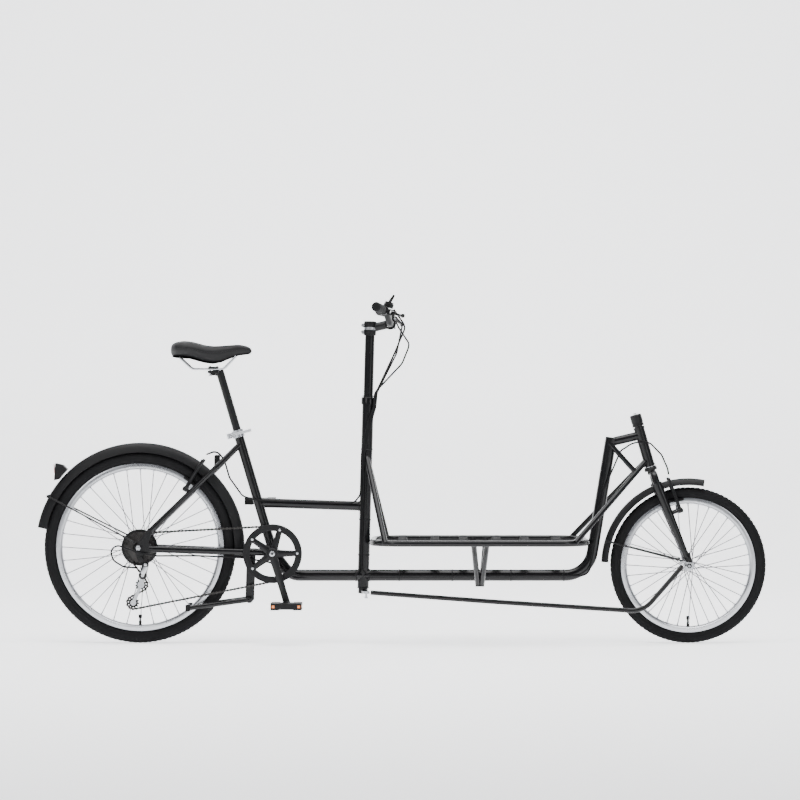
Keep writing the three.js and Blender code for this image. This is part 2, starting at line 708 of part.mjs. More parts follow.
function chainringSet() {
  const centre = at(bracket.x, bracket.z);
  const { y, pitch, guard, inner } = chainring;
  const ring = turned(
    centre,
    [[inner, y - 1.5], [pitch - 7, y - 1.5], [pitch - 7, y + 1.5], [inner, y + 1.5]],
    24,
  );
  const guardRing = turned(
    centre,
    [[inner, y - 6.5], [guard, y - 6.5], [guard, y - 4.5], [inner, y - 4.5]],
    24,
  );
  const arms = Array.from({ length: 5 }, (_, i) => {
    const angle = (2 * Math.PI * i) / 5 + 0.3;
    const reach = inner + 3;
    const end = at(centre.x + reach * Math.sin(angle), centre.z + reach * Math.cos(angle), y - 3);
    return rod(at(centre.x, centre.z, y - 3), end, 5.5, 4.5, 6);
  });
  const boss = spindle(20, y - 10, y + 2);
  return cut(join(ring, guardRing, arms, boss), spindle(9.6, -90, -30));
}

// The chain runs over wheels in turn; turn is 1 where a wheel rolls forward and -1 where it rolls back.
function chainLoop() {
  const wheels = [
    { ...bracket, y: chainring.y, r: chainring.pitch, turn: 1 },
    { ...jockey.lower, y: chainCog.y, r: jockey.radius, turn: 1 },
    { ...jockey.upper, y: chainCog.y, r: jockey.radius, turn: -1 },
    { x: 0, z: rearAxle.z, y: chainCog.y, r: chainCog.pitch, turn: 1 },
  ];
  const heading = wheels.map((a, i) => {
    const b = wheels[(i + 1) % wheels.length];
    const distance = Math.hypot(b.x - a.x, b.z - a.z);
    return Math.atan2(b.z - a.z, b.x - a.x) - Math.asin((a.turn * a.r - b.turn * b.r) / distance);
  });
  return wheels.flatMap((wheel, i) => {
    const arriving = heading[(i + wheels.length - 1) % wheels.length];
    const full = 2 * Math.PI;
    const wrap = (((arriving - heading[i]) * wheel.turn) % full + full) % full;
    const steps = Math.max(2, Math.ceil(wrap / 0.4));
    return Array.from({ length: steps + 1 }, (_, k) => {
      const angle = arriving - (wheel.turn * wrap * k) / steps;
      const reach = wheel.turn * wheel.r;
      return at(wheel.x - reach * Math.sin(angle), wheel.z + reach * Math.cos(angle), wheel.y);
    });
  });
}

function chain() {
  const loop = chainLoop();
  const seam = loop.at(-1).clone().lerp(loop[0], 0.5);
  const before = seam.clone().lerp(loop.at(-1), 0.002);
  return swept([seam, ...loop, before], [[-3.2, -3.8], [3.2, -3.8], [3.2, 3.8], [-3.2, 3.8]]);
}

function pedal(side) {
  const { x, z } = pedalAt(side);
  const [inner, outer] = [86, 172];
  const axle = cross(x, z, side * 64, side * 165, 4.5, 10);
  const middle = (side * (inner + outer)) / 2;
  const railSize = new THREE.Vector3(28, outer - inner, 24);
  const rails = [-1, 1].map((end) => block(at(x + 38 * end, z, middle), railSize));
  const body = block(at(x, z, middle), new THREE.Vector3(60, 26, 20));
  const ends = [inner + 5, outer - 5].map((y) => block(at(x, z, side * y), new THREE.Vector3(100, 10, 20)));
  return join(axle, rails, body, ends);
}

// ---- derailleur ----
function derailleurBody() {
  const knuckle = cross(cagePivot.x, cagePivot.z, -66, -44, 13);
  const link = rod(at(cagePivot.x + 2, cagePivot.z, -58), at(24, 270, -62), 9);
  const pivotPin = cross(cagePivot.x, cagePivot.z, -46, -39.6, 5, 10);
  return join(knuckle, link, pivotPin);
}

function derailleurCage() {
  const { upper, lower } = jockey;
  const side = (y) => {
    const strap = rod(at(upper.x, upper.z, y), at(lower.x, lower.z, y), 6, undefined, 8);
    const strapPlate = strap.intersect(block(at(0, 170, y), new THREE.Vector3(120, 2.4, 160)));
    const upperEye = cross(upper.x, upper.z, y - 1.2, y + 1.2, 12, 12);
    return join(strapPlate, upperEye, cross(lower.x, lower.z, y - 1.2, y + 1.2, 10, 12));
  };
  const pins = [upper, lower].map(({ x, z }) => cross(x, z, -42, -28, 3, 10));
  const pivotLink = rod(at(cagePivot.x, cagePivot.z, -40.8), at(upper.x, upper.z, -40.8), 9, undefined, 8);
  const pivotPlate = pivotLink.intersect(block(at(0, 220, -40.8), new THREE.Vector3(120, 2.4, 90)));
  const pivotEye = cross(cagePivot.x, cagePivot.z, -42, -39.6, 12, 12);
  const pivotBore = cross(cagePivot.x, cagePivot.z, -60, -30, 5.4, 12);
  return cut(join(side(-40.8), side(-29.2), pins, pivotPlate, pivotEye), pivotBore);
}

const jockeyWheel = ({ x, z }) =>
  turned(at(x, z), [[3.5, -39], [jockey.radius - 5, -39], [jockey.radius - 5, -31], [3.5, -31]], 16);

// ---- stand, seat ----
function kickstand() {
  const barrel = cross(standPivot.x, standPivot.z, -46, 46, 8, 14);
  const legs = Object.values(sides).map((side) => {
    const leg = rod(at(standPivot.x, standPivot.z, 44 * side), at(172, 122, 52 * side), 8, 7, 10);
    return join(leg, block(at(166, 122, 52 * side), new THREE.Vector3(16, 18, 22)));
  });
  return join(barrel, legs);
}

function clampLever() {
  const cam = moved(clampBolt, new THREE.Vector3(0, -1, 0), 30);
  const barrel = rod(moved(cam, seatUp, -9), moved(cam, seatUp, 9), 7);
  return join(barrel, rod(cam, moved(cam, clampBack, -78), 4.5, 5.5, 8));
}

function seatPost() {
  const head = onSeatTube(seatPostTop);
  const post = rod(onSeatTube(560), head, 13.6, undefined, roundSides);
  const clamp = block(at(252, 922), new THREE.Vector3(38, 52, 20));
  const neck = rod(moved(head, seatUp, -8), at(246, 922), 11);
  const rails = Object.values(sides).map((side) => {
    const corners = [at(134, 972.5, 30), at(178, 932, 24), at(284, 932, 22), at(326, 976, 9)];
    return tube(rounded(corners.map((p) => mirrored(p, side)), 18, 25), 3.5, 8);
  });
  return join(post, clamp, neck, rails);
}

function saddle() {
  const profile = [
    [106, 990],
    [110, 1010],
    [128, 1019],
    [155, 1021],
    [190, 1014],
    [225, 1004],
    [262, 1003],
    [310, 1007],
  ];
  profile.push([345, 1011], [368, 1005], [381, 994], [372, 984], [345, 982], [318, 982], [275, 957]);
  profile.push([240, 950], [205, 962], [165, 978], [118, 978]);
  const outline = [
    [106, 30],
    [112, 58],
    [135, 76],
    [165, 77],
    [200, 64],
    [240, 38],
    [290, 22],
    [350, 17],
    [375, 11],
    [381, 3],
  ];
  const leftSide = outline.toReversed().map(([x, y]) => [x, -y]);
  const plan = new THREE.Shape([...outline, ...leftSide].map(([x, y]) => new THREE.Vector2(x, y)));
  const seen = new THREE.ExtrudeGeometry(plan, { depth: 120, bevelEnabled: false });
  return plate(profile, -90, 90).intersect(solidOf(seen.translate(0, 0, 920)));
}

// ---- cables ----
// A lane is a place beside the steering tube, by its angle from straight ahead and its height off the tube.
const lane = (z, degrees, clear = 4.2) => {
  const angle = THREE.MathUtils.degToRad(degrees);
  return moved(columnAt(z), new THREE.Vector3(Math.cos(angle), Math.sin(angle), 0), column.tube + clear);
};

// The cables cross the collar in front, then wind round to the right side and down.
const winding = (degrees) => [
  lane(852, degrees + 93, 11),
  lane(804, degrees + 93, 8),
  lane(762, degrees + 60),
  lane(700, degrees + 25),
  lane(644, degrees),
];
const cable = (points) => tube(rounded(points, cableBend, 60), cableRadius, 6);
const cableExit = (name) => moved(leverPivot(name), at(0.6, -0.8), 17);

function frontBrakeCable() {
  const start = cableExit("right");
  const top = [
    start,
    moved(start, new THREE.Vector3(0.35, 0.85, -0.4), 60),
    at(873, 985, -14),
    ...winding(-108),
  ];
  const beside = -boomRadius - 3.4;
  const low = [lane(250, -108), at(782, boomHeight, beside), at(uprightFoot, boomHeight, beside)];
  const rise = [
    at(1577, 520, beside),
    at(1607, 590, -22),
    at(1636, 655, -3),
    at(1668, 676, -6),
    at(1692, 684, -24),
  ];
  const drop = [at(1732, 684, -24), at(1774, 640, -24), at(1794, 594, -26), at(1797, 574, -30)];
  return cable([...top, ...low, ...rise, ...drop]);
}

function rearBrakeCable() {
  const start = cableExit("left");
  const top = [
    start,
    moved(start, new THREE.Vector3(0.2, -0.85, -0.4), 60),
    at(918, 1015, -34),
    at(892, 950, -52),
    ...winding(-136),
  ];
  const back = [
    lane(505, -136),
    at(728, 475, -20.5),
    at(398, 486, -21),
    at(350, 500, -22),
    at(305, 562, -14),
  ];
  return cable([...top, ...back, at(287, 622, -9), at(262, 655, -12), at(228, 642, -30)]);
}

function shiftCable() {
  const top = [
    moved(shifterCentre, at(0.8, -0.6), 22),
    at(905, 1075, -96),
    at(866, 985, -30),
    ...winding(-122),
  ];
  const beside = -boomRadius - 3.4;
  const back = [lane(250, -122), at(735, boomHeight, beside), at(540, boomHeight, beside), at(440, 276, -27)];
  const stay = [
    at(345, 292, -40),
    at(200, 299, -54),
    at(60, 300, -80),
    at(0, 312, -98),
    at(-70, 338, -98),
    at(-93, 318, -92),
  ];
  return cable([...top, ...back, ...stay, at(-84, 284, -80), at(-50, 262, -66), at(-4, 258, -62)]);
}

// ---- assembly ----
const blackPaint = ["#141416", 0.35, 0.2];
const blackAlloy = ["#1a1a1c", 0.4, 0.6];
const silver = ["#c9cbcd", 0.28, 0.95];
const blackPlastic = ["#18181a", 0.6, 0];
const rubber = ["#17171a", 0.85, 0];

function mesh(name, solid, [color, roughness, metalness]) {
  const { vertProperties, triVerts } = solid.getMesh();
  const geometry = new THREE.BufferGeometry();
  geometry.setAttribute("position", new THREE.BufferAttribute(vertProperties, 3));
  geometry.setIndex(new THREE.BufferAttribute(triVerts, 1));
  const made = new THREE.Mesh(geometry, new THREE.MeshStandardMaterial({ color, roughness, metalness }));
  made.name = name;
  return made;
}

const group = new THREE.Group();
const add = (name, solid, finish) => group.add(mesh(name, solid, finish));

add("seat_tube", seatTube(), blackPaint);
add("seat_stays", seatStays(), blackPaint);
add("chain_stays", chainStays(), blackPaint);
add("mid_tube", midTube(), blackPaint);
add("steering_tube", steeringTubeSolid(), blackPaint);
add("main_boom", mainBoom(), blackPaint);
add("head_tube", headTube(), blackPaint);
add("cargo_platform", cargoPlatform(), blackPaint);
add("platform_hanger", platformHanger(), blackPaint);
add("seat_clamp", seatClamp(), silver);
add("rear_fender", rearFender(), blackPlastic);
add("front_fender", frontFender(), blackPlastic);
add("rear_reflector", rearReflector(), blackPlastic);
for (const [name, side] of Object.entries(sides)) {
  add(`front_truss_${name}`, frontTruss(side), blackPaint);
  add(`column_brace_${name}`, columnBrace(side), blackPaint);
  add(`grip_${name}`, grip(side), rubber);
  add(`lever_mount_${name}`, leverMount(name), blackAlloy);
  add(`brake_lever_${name}`, brakeLever(name), blackAlloy);
  add(`rear_brake_arm_${name}`, brakeArm(rearBrake, side, rearAxle, rearWheel), blackAlloy);
  add(`front_brake_arm_${name}`, brakeArm(frontBrake, side, frontAxle, frontWheel), blackAlloy);
  add(`crank_${name}`, crank(side), blackAlloy);
  add(`pedal_${name}`, pedal(side), blackPlastic);
}
add("rear_tyre", tyre(rearAxle, rearWheel), rubber);
add("rear_rim", rim(rearAxle, rearWheel), silver);
const rearShell = { bore: 5.5, ends: [-63, 63], flanges: [-20, 34], flange: 25 };
const frontShell = { bore: 5, ends: [-45, 45], flanges: [-31, 31], flange: 20 };
add("rear_hub", hub(rearAxle, rearWheel, rearShell), silver);
add("front_tyre", tyre(frontAxle, frontWheel), rubber);
add("front_rim", rim(frontAxle, frontWheel), silver);
add("front_hub", hub(frontAxle, frontWheel, frontShell), silver);
add("freewheel", freewheel(), ["#5b5550", 0.4, 0.9]);
add("rear_axle", rearAxleSet(), blackAlloy);
add("front_axle", frontAxleSet(), silver);
add("steering_column", steeringColumn(), blackPaint);
add("tie_rod", tieRod(), blackPaint);
add("stem", stem(), blackAlloy);
add("handlebar", handlebar(), blackAlloy);
add("shifter_body", shifterBody(), blackPlastic);
add("shift_lever", shiftLever(), blackPlastic);
add("fork", fork(), blackPaint);
add("chainring", chainringSet(), blackAlloy);
add("chain", chain(), ["#6d6a66", 0.4, 0.9]);
add("derailleur_body", derailleurBody(), blackAlloy);
add("derailleur_cage", derailleurCage(), silver);
add("jockey_upper", jockeyWheel(jockey.upper), blackPlastic);
add("jockey_lower", jockeyWheel(jockey.lower), blackPlastic);
add("kickstand", kickstand(), blackPaint);
add("front_brake_cable", frontBrakeCable(), rubber);
add("rear_brake_cable", rearBrakeCable(), rubber);
add("shift_cable", shiftCable(), rubber);
add("seat_clamp_lever", clampLever(), silver);
add("seat_post", seatPost(), blackAlloy);
add("saddle", saddle(), ["#1b1b1d", 0.55, 0]);

// The origin lies on the ground, under the middle of the whole length.
const span = new THREE.Box3().setFromObject(group);
group.position.x = -(span.min.x + span.max.x) / 2;

export default group;
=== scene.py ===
"""Cargo bicycle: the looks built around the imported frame.

Shapes are written in millimetres from the rear axle: x ahead, y to the rider's left, z up from the ground.
"""

import json
import math

import bmesh
import bpy
from mathutils import Matrix, Quaternion, Vector
from mathutils.bvhtree import BVHTree

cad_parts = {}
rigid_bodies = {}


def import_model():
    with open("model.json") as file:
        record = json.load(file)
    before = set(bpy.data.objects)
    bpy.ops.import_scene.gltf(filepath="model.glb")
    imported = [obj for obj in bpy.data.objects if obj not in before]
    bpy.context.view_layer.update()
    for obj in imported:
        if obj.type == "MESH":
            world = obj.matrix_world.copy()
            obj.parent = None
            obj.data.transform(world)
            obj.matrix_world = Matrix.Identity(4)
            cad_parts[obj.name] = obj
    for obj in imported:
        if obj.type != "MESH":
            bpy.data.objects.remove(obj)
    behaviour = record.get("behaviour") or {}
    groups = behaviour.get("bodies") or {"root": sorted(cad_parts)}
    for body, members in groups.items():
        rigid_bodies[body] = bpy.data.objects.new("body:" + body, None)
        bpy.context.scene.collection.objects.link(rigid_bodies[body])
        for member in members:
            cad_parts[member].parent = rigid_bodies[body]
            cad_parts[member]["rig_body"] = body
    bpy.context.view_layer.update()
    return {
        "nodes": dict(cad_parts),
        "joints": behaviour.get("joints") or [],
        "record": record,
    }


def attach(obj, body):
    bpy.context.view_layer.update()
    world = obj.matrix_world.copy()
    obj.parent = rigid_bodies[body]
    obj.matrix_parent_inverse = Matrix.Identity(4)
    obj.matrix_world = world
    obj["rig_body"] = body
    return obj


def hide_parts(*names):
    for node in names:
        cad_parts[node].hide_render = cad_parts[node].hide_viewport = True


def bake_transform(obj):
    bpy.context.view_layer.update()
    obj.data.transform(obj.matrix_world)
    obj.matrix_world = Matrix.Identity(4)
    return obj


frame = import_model()
joints = {j["name"]: j for j in frame["joints"]}
slots = {s["node"]: s["material_slot"] for s in frame["record"]["subparts"]}
MM = 0.001

# Sizes in millimetres
MAIN_TUBE = 19.5  # radius of the boom, its upright, the steering tube and the lower seat tube
SLIM_TUBE = 16.0  # radius of the upper seat tube and the mid tube
SHELL = 34.0  # half the width of the bottom bracket shell
GAP = 0.3  # between neighbouring pieces
HOUSING = 2.9  # radius of a cable housing
SPOKES = 36
SPOKE = 1.35  # radius
CROSSING_HOLES = 6  # how many spoke holes each spoke leads or trails by
HOLE_IN, HOLE_LIFT = 3.5, 2.3  # the spoke holes' inset from the flange's edge, and the heads' height off it
DISH = 0.05  # the share of the flange's offset left at the rim


def place(name):
    """A joint's place in millimetres from the rear axle."""
    x, y, z = joints[name]["pos_m"]
    return Vector(((x - REAR_X) / MM, y / MM, z / MM))


REAR_X = joints["rear_wheel_spin"]["pos_m"][0]
REAR = place("rear_wheel_spin")
FRONT = place("front_wheel_spin")
CRANK = place("crank_spin")
COLUMN = place("handlebar_turn")
HEAD = place("fork_turn")
COLUMN_UP = Vector(joints["handlebar_turn"]["axis"])
HEAD_UP = Vector(joints["fork_turn"]["axis"])
SEAT_UP = Vector(joints["seat_height"]["axis"])
ACROSS = Vector((0, 1, 0))
SIDES = {"right": -1, "left": 1}


def at(x, z, y=0.0):
    return Vector((x, y, z))


def column_at(z, y=0.0):
    p = COLUMN + COLUMN_UP * ((z - COLUMN.z) / COLUMN_UP.z)
    return Vector((p.x, y, z))


def head_at(z, y=0.0):
    p = HEAD + HEAD_UP * ((z - HEAD.z) / HEAD_UP.z)
    return Vector((p.x, y, z))


def seat_at(z):
    return at(CRANK.x, CRANK.z) + SEAT_UP * ((z - CRANK.z) / SEAT_UP.z)


def flip(p, side):
    return Vector((p.x, p.y * side, p.z))


# ---- materials ----
DRIFT, DRIFT_DETAIL, GRAIN_DETAIL = 14.0, 6.0, 4.0
GRAIN_DEPTH = 0.0004


def shader(
    name, base, rough, metal=0.0, coat=0.0, gloss=0.5, grain=0.0, size=600.0, mottle=0.12, kind="noise"
):
    """A Principled surface whose roughness and tint drift a little and whose grain is a fine bump."""
    m = bpy.data.materials.new(name)
    m.use_nodes = True
    tree = m.node_tree
    links = tree.links
    p = tree.nodes["Principled BSDF"]
    p.inputs["Metallic"].default_value = metal
    p.inputs["Coat Weight"].default_value = coat
    p.inputs["Specular IOR Level"].default_value = gloss
    p.inputs["Coat Roughness"].default_value = 0.06
    where = tree.nodes.new("ShaderNodeTexCoord")
    drift = tree.nodes.new("ShaderNodeTexNoise")
    drift.inputs["Scale"].default_value = DRIFT
    drift.inputs["Detail"].default_value = DRIFT_DETAIL
    links.new(where.outputs["Object"], drift.inputs["Vector"])
    ramp = tree.nodes.new("ShaderNodeMapRange")
    ramp.inputs["To Min"].default_value = rough * (1 - mottle)
    ramp.inputs["To Max"].default_value = min(1.0, rough * (1 + mottle * 2))
    links.new(drift.outputs["Fac"], ramp.inputs["Value"])
    links.new(ramp.outputs["Result"], p.inputs["Roughness"])
    tint = tree.nodes.new("ShaderNodeMix")
    tint.data_type = "RGBA"
    tint.inputs["A"].default_value = (*base, 1)
    lighter = [min(1.0, c * (1 + mottle * 1.6) + 0.002) for c in base]
    tint.inputs["B"].default_value = (*lighter, 1)
    links.new(drift.outputs["Fac"], tint.inputs["Factor"])
    links.new(tint.outputs["Result"], p.inputs["Base Color"])
    if grain:
        if kind == "cells":
            fine = tree.nodes.new("ShaderNodeTexVoronoi")
            out = fine.outputs["Distance"]
        else:
            fine = tree.nodes.new("ShaderNodeTexNoise")
            fine.inputs["Detail"].default_value = GRAIN_DETAIL
            out = fine.outputs["Fac"]
        fine.inputs["Scale"].default_value = size
        links.new(where.outputs["Object"], fine.inputs["Vector"])
        bump = tree.nodes.new("ShaderNodeBump")
        bump.inputs["Strength"].default_value = grain
        bump.inputs["Distance"].default_value = GRAIN_DEPTH
        links.new(out, bump.inputs["Height"])
        links.new(bump.outputs["Normal"], p.inputs["Normal"])
    return m


NEAR_BLACK = (0.004, 0.004, 0.0045)
PAINT_BLACK = (0.003, 0.003, 0.0035)
VINYL_BLACK = (0.005, 0.005, 0.0055)
PRISMS = {"coat": 1.0, "grain": 0.8, "size": 320, "kind": "cells"}
MATS = {
    "frame_paint": shader("gloss_black", PAINT_BLACK, 0.2, gloss=0.26, coat=0.04, grain=0.05, size=420),
    "black_alloy": shader("satin_black", NEAR_BLACK, 0.32, gloss=0.24, grain=0.12, size=1500),
    "silver_alloy": shader("bright_alloy", (0.45, 0.46, 0.48), 0.26, metal=1.0, grain=0.1, size=900),
    "drive_steel": shader("oiled_steel", (0.05, 0.048, 0.047), 0.38, metal=1.0, grain=0.2, size=800),
    "tyre": shader("tyre_rubber", NEAR_BLACK, 0.75, gloss=0.15, grain=0.5, size=700, mottle=0.2),
    "rubber": shader("soft_rubber", NEAR_BLACK, 0.62, gloss=0.16, grain=0.3, size=1200),
    "black_plastic": shader("moulded_black", NEAR_BLACK, 0.46, gloss=0.2, grain=0.3, size=1800),
    "saddle_cover": shader("vinyl", VINYL_BLACK, 0.5, gloss=0.24, grain=0.55, size=900, kind="cells"),
}
RED = shader("red_prisms", (0.42, 0.012, 0.012), 0.14, **PRISMS)
AMBER = shader("amber_prisms", (0.8, 0.2, 0.02), 0.15, **PRISMS)
WIRE = shader("stainless_wire", (0.12, 0.12, 0.13), 0.34, metal=1.0, grain=0.05, size=900)
DULL = shader("dull_black", PAINT_BLACK, 0.75, gloss=0.05, grain=0.2, size=900)


# ---- shapes ----
def rounded(corners, radius, step=6.0):
    """Corner points with each inner corner rounded to a bend radius, kept within its neighbours."""
    out = [corners[0]]
    for a, b, c in zip(corners, corners[1:], corners[2:]):
        into, leave = (b - a).normalized(), (c - b).normalized()
        angle = into.angle(leave)
        if angle < 0.01:
            out.append(b)
            continue
        room = 0.49 * min((b - a).length, (c - b).length) / math.tan(angle / 2)
        r = min(radius, room)
        axis = into.cross(leave).normalized()
        inward = axis.cross(into).normalized()
        centre = b - into * (r * math.tan(angle / 2)) + inward * r
        steps = max(2, math.ceil(math.degrees(angle) / step))
        out += [centre + Quaternion(axis, angle * k / steps) @ (inward * -r) for k in range(steps + 1)]
    return [*out, corners[-1]]


def arc(centre, radius, start, stop, steps):
    """Points on an arc in the side view; degrees from straight ahead, turning upward."""
    angles = [math.radians(start + (stop - start) * i / steps) for i in range(steps + 1)]
    return [at(centre.x + radius * math.cos(a), centre.z + radius * math.sin(a), centre.y) for a in angles]


def circle(rx, ry, count):
    angles = [2 * math.pi * i / count for i in range(count)]
    return [(rx * math.cos(a), ry * math.sin(a)) for a in angles]


class Shape:
    """Faces gathered in millimetres, then made into one piece."""

    def __init__(self):
        self.verts, self.faces = [], []

    def rings(self, rings, closed=False, caps=True):
        n, base = len(rings[0]), len(self.verts)
        for ring in rings:
            self.verts += ring
        pairs = len(rings) if closed else len(rings) - 1
        for i in range(pairs):
            a, b = base + i * n, base + ((i + 1) % len(rings)) * n
            self.faces += [(a + k, a + (k + 1) % n, b + (k + 1) % n, b + k) for k in range(n)]
        if caps and not closed:
            self.faces.append(tuple(base + k for k in reversed(range(n))))
            self.faces.append(tuple(base + (len(rings) - 1) * n + k for k in range(n)))
        return self

    def sweep(self, points, section, scale=None, up=None):
        """The section carried along the points without twist; scale gives its size at each point."""
        tangents = []
        for i, p in enumerate(points):
            t = Vector((0, 0, 0))
            if i:
                t += (p - points[i - 1]).normalized()
            if i < len(points) - 1:
                t += (points[i + 1] - p).normalized()
            tangents.append(t.normalized())
        side = up or (ACROSS if abs(tangents[0].dot(ACROSS)) < 0.9 else Vector((0, 0, 1)))
        rings = []
        for i, (p, t) in enumerate(zip(points, tangents)):
            side = (side - t * side.dot(t)).normalized()
            other = t.cross(side)
            s = scale[i] if scale else 1.0
            rings.append([p + side * (u * s) + other * (v * s) for u, v in section])
        return self.rings(rings)

    def tube(self, points, radius, count=28, scale=None):
        return self.sweep(points, circle(radius, radius, count), scale)

    def turn(self, origin, axis, profile, count=32, closed=False):
        """The profile of (radius, distance along the axis) turned about the axis."""
        axis = axis.normalized()
        side = (ACROSS if abs(axis.dot(ACROSS)) < 0.9 else Vector((0, 0, 1))).cross(axis).normalized()
        other = axis.cross(side)
        angles = [2 * math.pi * k / count for k in range(count)]
        rays = [(side * math.cos(a), other * math.sin(a)) for a in angles]
        rings = [[origin + axis * t + u * r + v * r for u, v in rays] for r, t in profile]
        return self.rings(rings, closed)

    def rod(self, a, b, radius, end=None, count=24, edge=0.8):
        end = radius if end is None else end
        length = (b - a).length
        e = min(edge, radius / 3, length / 3)
        profile = [(radius - e, 0), (radius, e), (end, length - e), (end - e, length)]
        return self.turn(a, b - a, profile, count)

    def block(self, centre, size, turn=None):
        turn = turn or Quaternion()
        corners = [Vector((x, y, z)) * 0.5 for z in (-1, 1) for x, y in ((-1, -1), (1, -1), (1, 1), (-1, 1))]
        ring = [centre + turn @ Vector((c.x * size[0], c.y * size[1], c.z * size[2])) for c in corners]
        return self.rings([ring[:4], ring[4:]])

    def plate(self, outline, y0, y1):
        """An outline of (x, z) in the side view, from y0 to y1."""
        ring = [at(x, z, 0) for x, z in outline]
        return self.rings([[Vector((p.x, y, p.z)) for p in ring] for y in (y1, y0)])

    def make(self, name, body, slot, replaces=(), bevel=0.0, sharp=38.0, material=None):
        data = bpy.data.meshes.new(name)
        data.from_pydata([(v.x * MM + REAR_X, v.y * MM, v.z * MM) for v in self.verts], [], self.faces)
        return show(name, data, body, slot, replaces, bevel, sharp, material)


def show(name, data, body, slot, replaces=(), bevel=0.0, sharp=38.0, material=None):
    bm = bmesh.new()
    bm.from_mesh(data)
    bmesh.ops.recalc_face_normals(bm, faces=bm.faces)
    bm.to_mesh(data)
    bm.free()
    data.shade_smooth()
    data.set_sharp_from_angle(angle=math.radians(sharp))
    data.materials.append(material or MATS[slot])
    o = bpy.data.objects.new(name, data)
    bpy.context.scene.collection.objects.link(o)
    if bevel:
        edge = o.modifiers.new("edges", "BEVEL")
        edge.width = bevel * MM
        edge.segments = 2
        edge.limit_method = "ANGLE"
        edge.angle_limit = math.radians(sharp)
        edge.harden_normals = True
    if body:
        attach(o, body)
    if replaces:
        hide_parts(*replaces)
    built.update(replaces)
    return o


built = set()


def polish(node):
    """The CAD node's own shape with softened edges."""
    source = frame["nodes"][node]
    bm = bmesh.new()
    bm.from_mesh(source.data)
    bmesh.ops.remove_doubles(bm, verts=bm.verts, dist=2e-5)
    bmesh.ops.dissolve_limit(bm, angle_limit=math.radians(1), verts=bm.verts, edges=bm.edges)
    data = bpy.data.meshes.new(node + "_shape")
    bm.to_mesh(data)
    bm.free()
    return show(node + "_shape", data, source["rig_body"], slots[node], [node], 0.5, 47)


# ---- wheels ----
# Each wheel: the tyre's radius and half width, the rim's outer and inner radius and half width, the hub's
# flange places and radius and its ends, and how many tread blocks go round
WHEELS = {
    "rear": {
        "body": "rear_wheel", "axle": REAR, "radius": 326.0, "half": 23.5,
        "outer": 285.5, "inner": 264.0, "rim": 12.5,
        "flanges": (-20.0, 34.0), "flange": 25.0, "ends": (-63.0, 63.0), "blocks": 118,
    },
    "front": {
        "body": "front_wheel", "axle": FRONT, "radius": 265.0, "half": 19.5,
        "outer": 229.0, "inner": 208.0, "rim": 12.0,
        "flanges": (-31.0, 31.0), "flange": 20.0, "ends": (-45.0, 45.0), "blocks": 96,
    },
}
WIDEST = 0.42  # the share of the tyre's height where it is widest
TREAD_DEPTH = 1.4
BEAD_GAP = 0.6
MOULD_LINE = 0.55
BLOCK_SHARE = 0.62  # of the pitch between blocks
BLOCK_TALL, BLOCK_PROUD = 2.2, 0.2
# Each row of tread blocks: its tilt round the crown, its width, and whether it sits half a pitch along
TREAD_ROWS = ((0.0, 6.0, 0), (0.5, 5.4, 1), (-0.5, 5.4, 1), (0.92, 5.0, 0), (-0.92, 5.0, 0))
TURN_STEPS = 160


def radial(angle):
    """The direction out from an axle, and the one along the rim, at an angle from the top."""
    return Vector((math.sin(angle), 0, math.cos(angle))), Vector((math.cos(angle), 0, -math.sin(angle)))


def tyre(name, w):
    s = Shape()
    low = w["outer"] + BEAD_GAP
    tall = w["radius"] - TREAD_DEPTH - low
    half, crown = w["half"], 14
    middle, rise = low + tall * WIDEST, tall * (1 - WIDEST)
    bend = [math.pi / 2 * k / crown for k in range(crown + 1)]
    bead = [(low - 5, 8.6), (low, 9.6), (low + 1.5, 13.0)]
    wall = [(low + 5, half * 0.82), (low + tall * 0.26, half * 0.97)]
    right = bead + wall + [(middle + rise * math.sin(a), half * math.cos(a)) for a in bend]
    s.turn(w["axle"], ACROSS, right + [(r, -y) for r, y in reversed(right[:-1])], TURN_STEPS)
    s.faces = [f for f in s.faces if len(f) == 4]
    pitch = 2 * math.pi / w["blocks"]
    long = pitch * w["radius"] * BLOCK_SHARE
    for k in range(w["blocks"]):
        for tilt, wide, shifted in TREAD_ROWS:
            out, along = radial(pitch * k + pitch / 2 * shifted)
            spot = w["axle"] + out * (middle + rise * math.cos(tilt)) + ACROSS * (half * math.sin(tilt))
            normal = (out * math.cos(tilt) + ACROSS * (math.sin(tilt) * rise / half)).normalized()
            turn = Matrix((along, along.cross(normal), normal)).transposed().to_quaternion()
            s.block(spot + normal * BLOCK_PROUD, (long, wide, BLOCK_TALL), turn)
    s.make(name + "_tyre_tread", w["body"], "tyre", [name + "_tyre"])
    line = Shape()
    for side in (-1, 1):
        for r, share in ((low + 3.2, 0.75), (low + tall * 0.3, 0.985)):
            raised = [(r + x, y) for x, y in circle(MOULD_LINE, MOULD_LINE, 6)]
            line.turn(w["axle"] + ACROSS * (side * half * share), ACROSS, raised, 128, closed=True)
    line.make(name + "_tyre_lines", w["body"], "tyre")


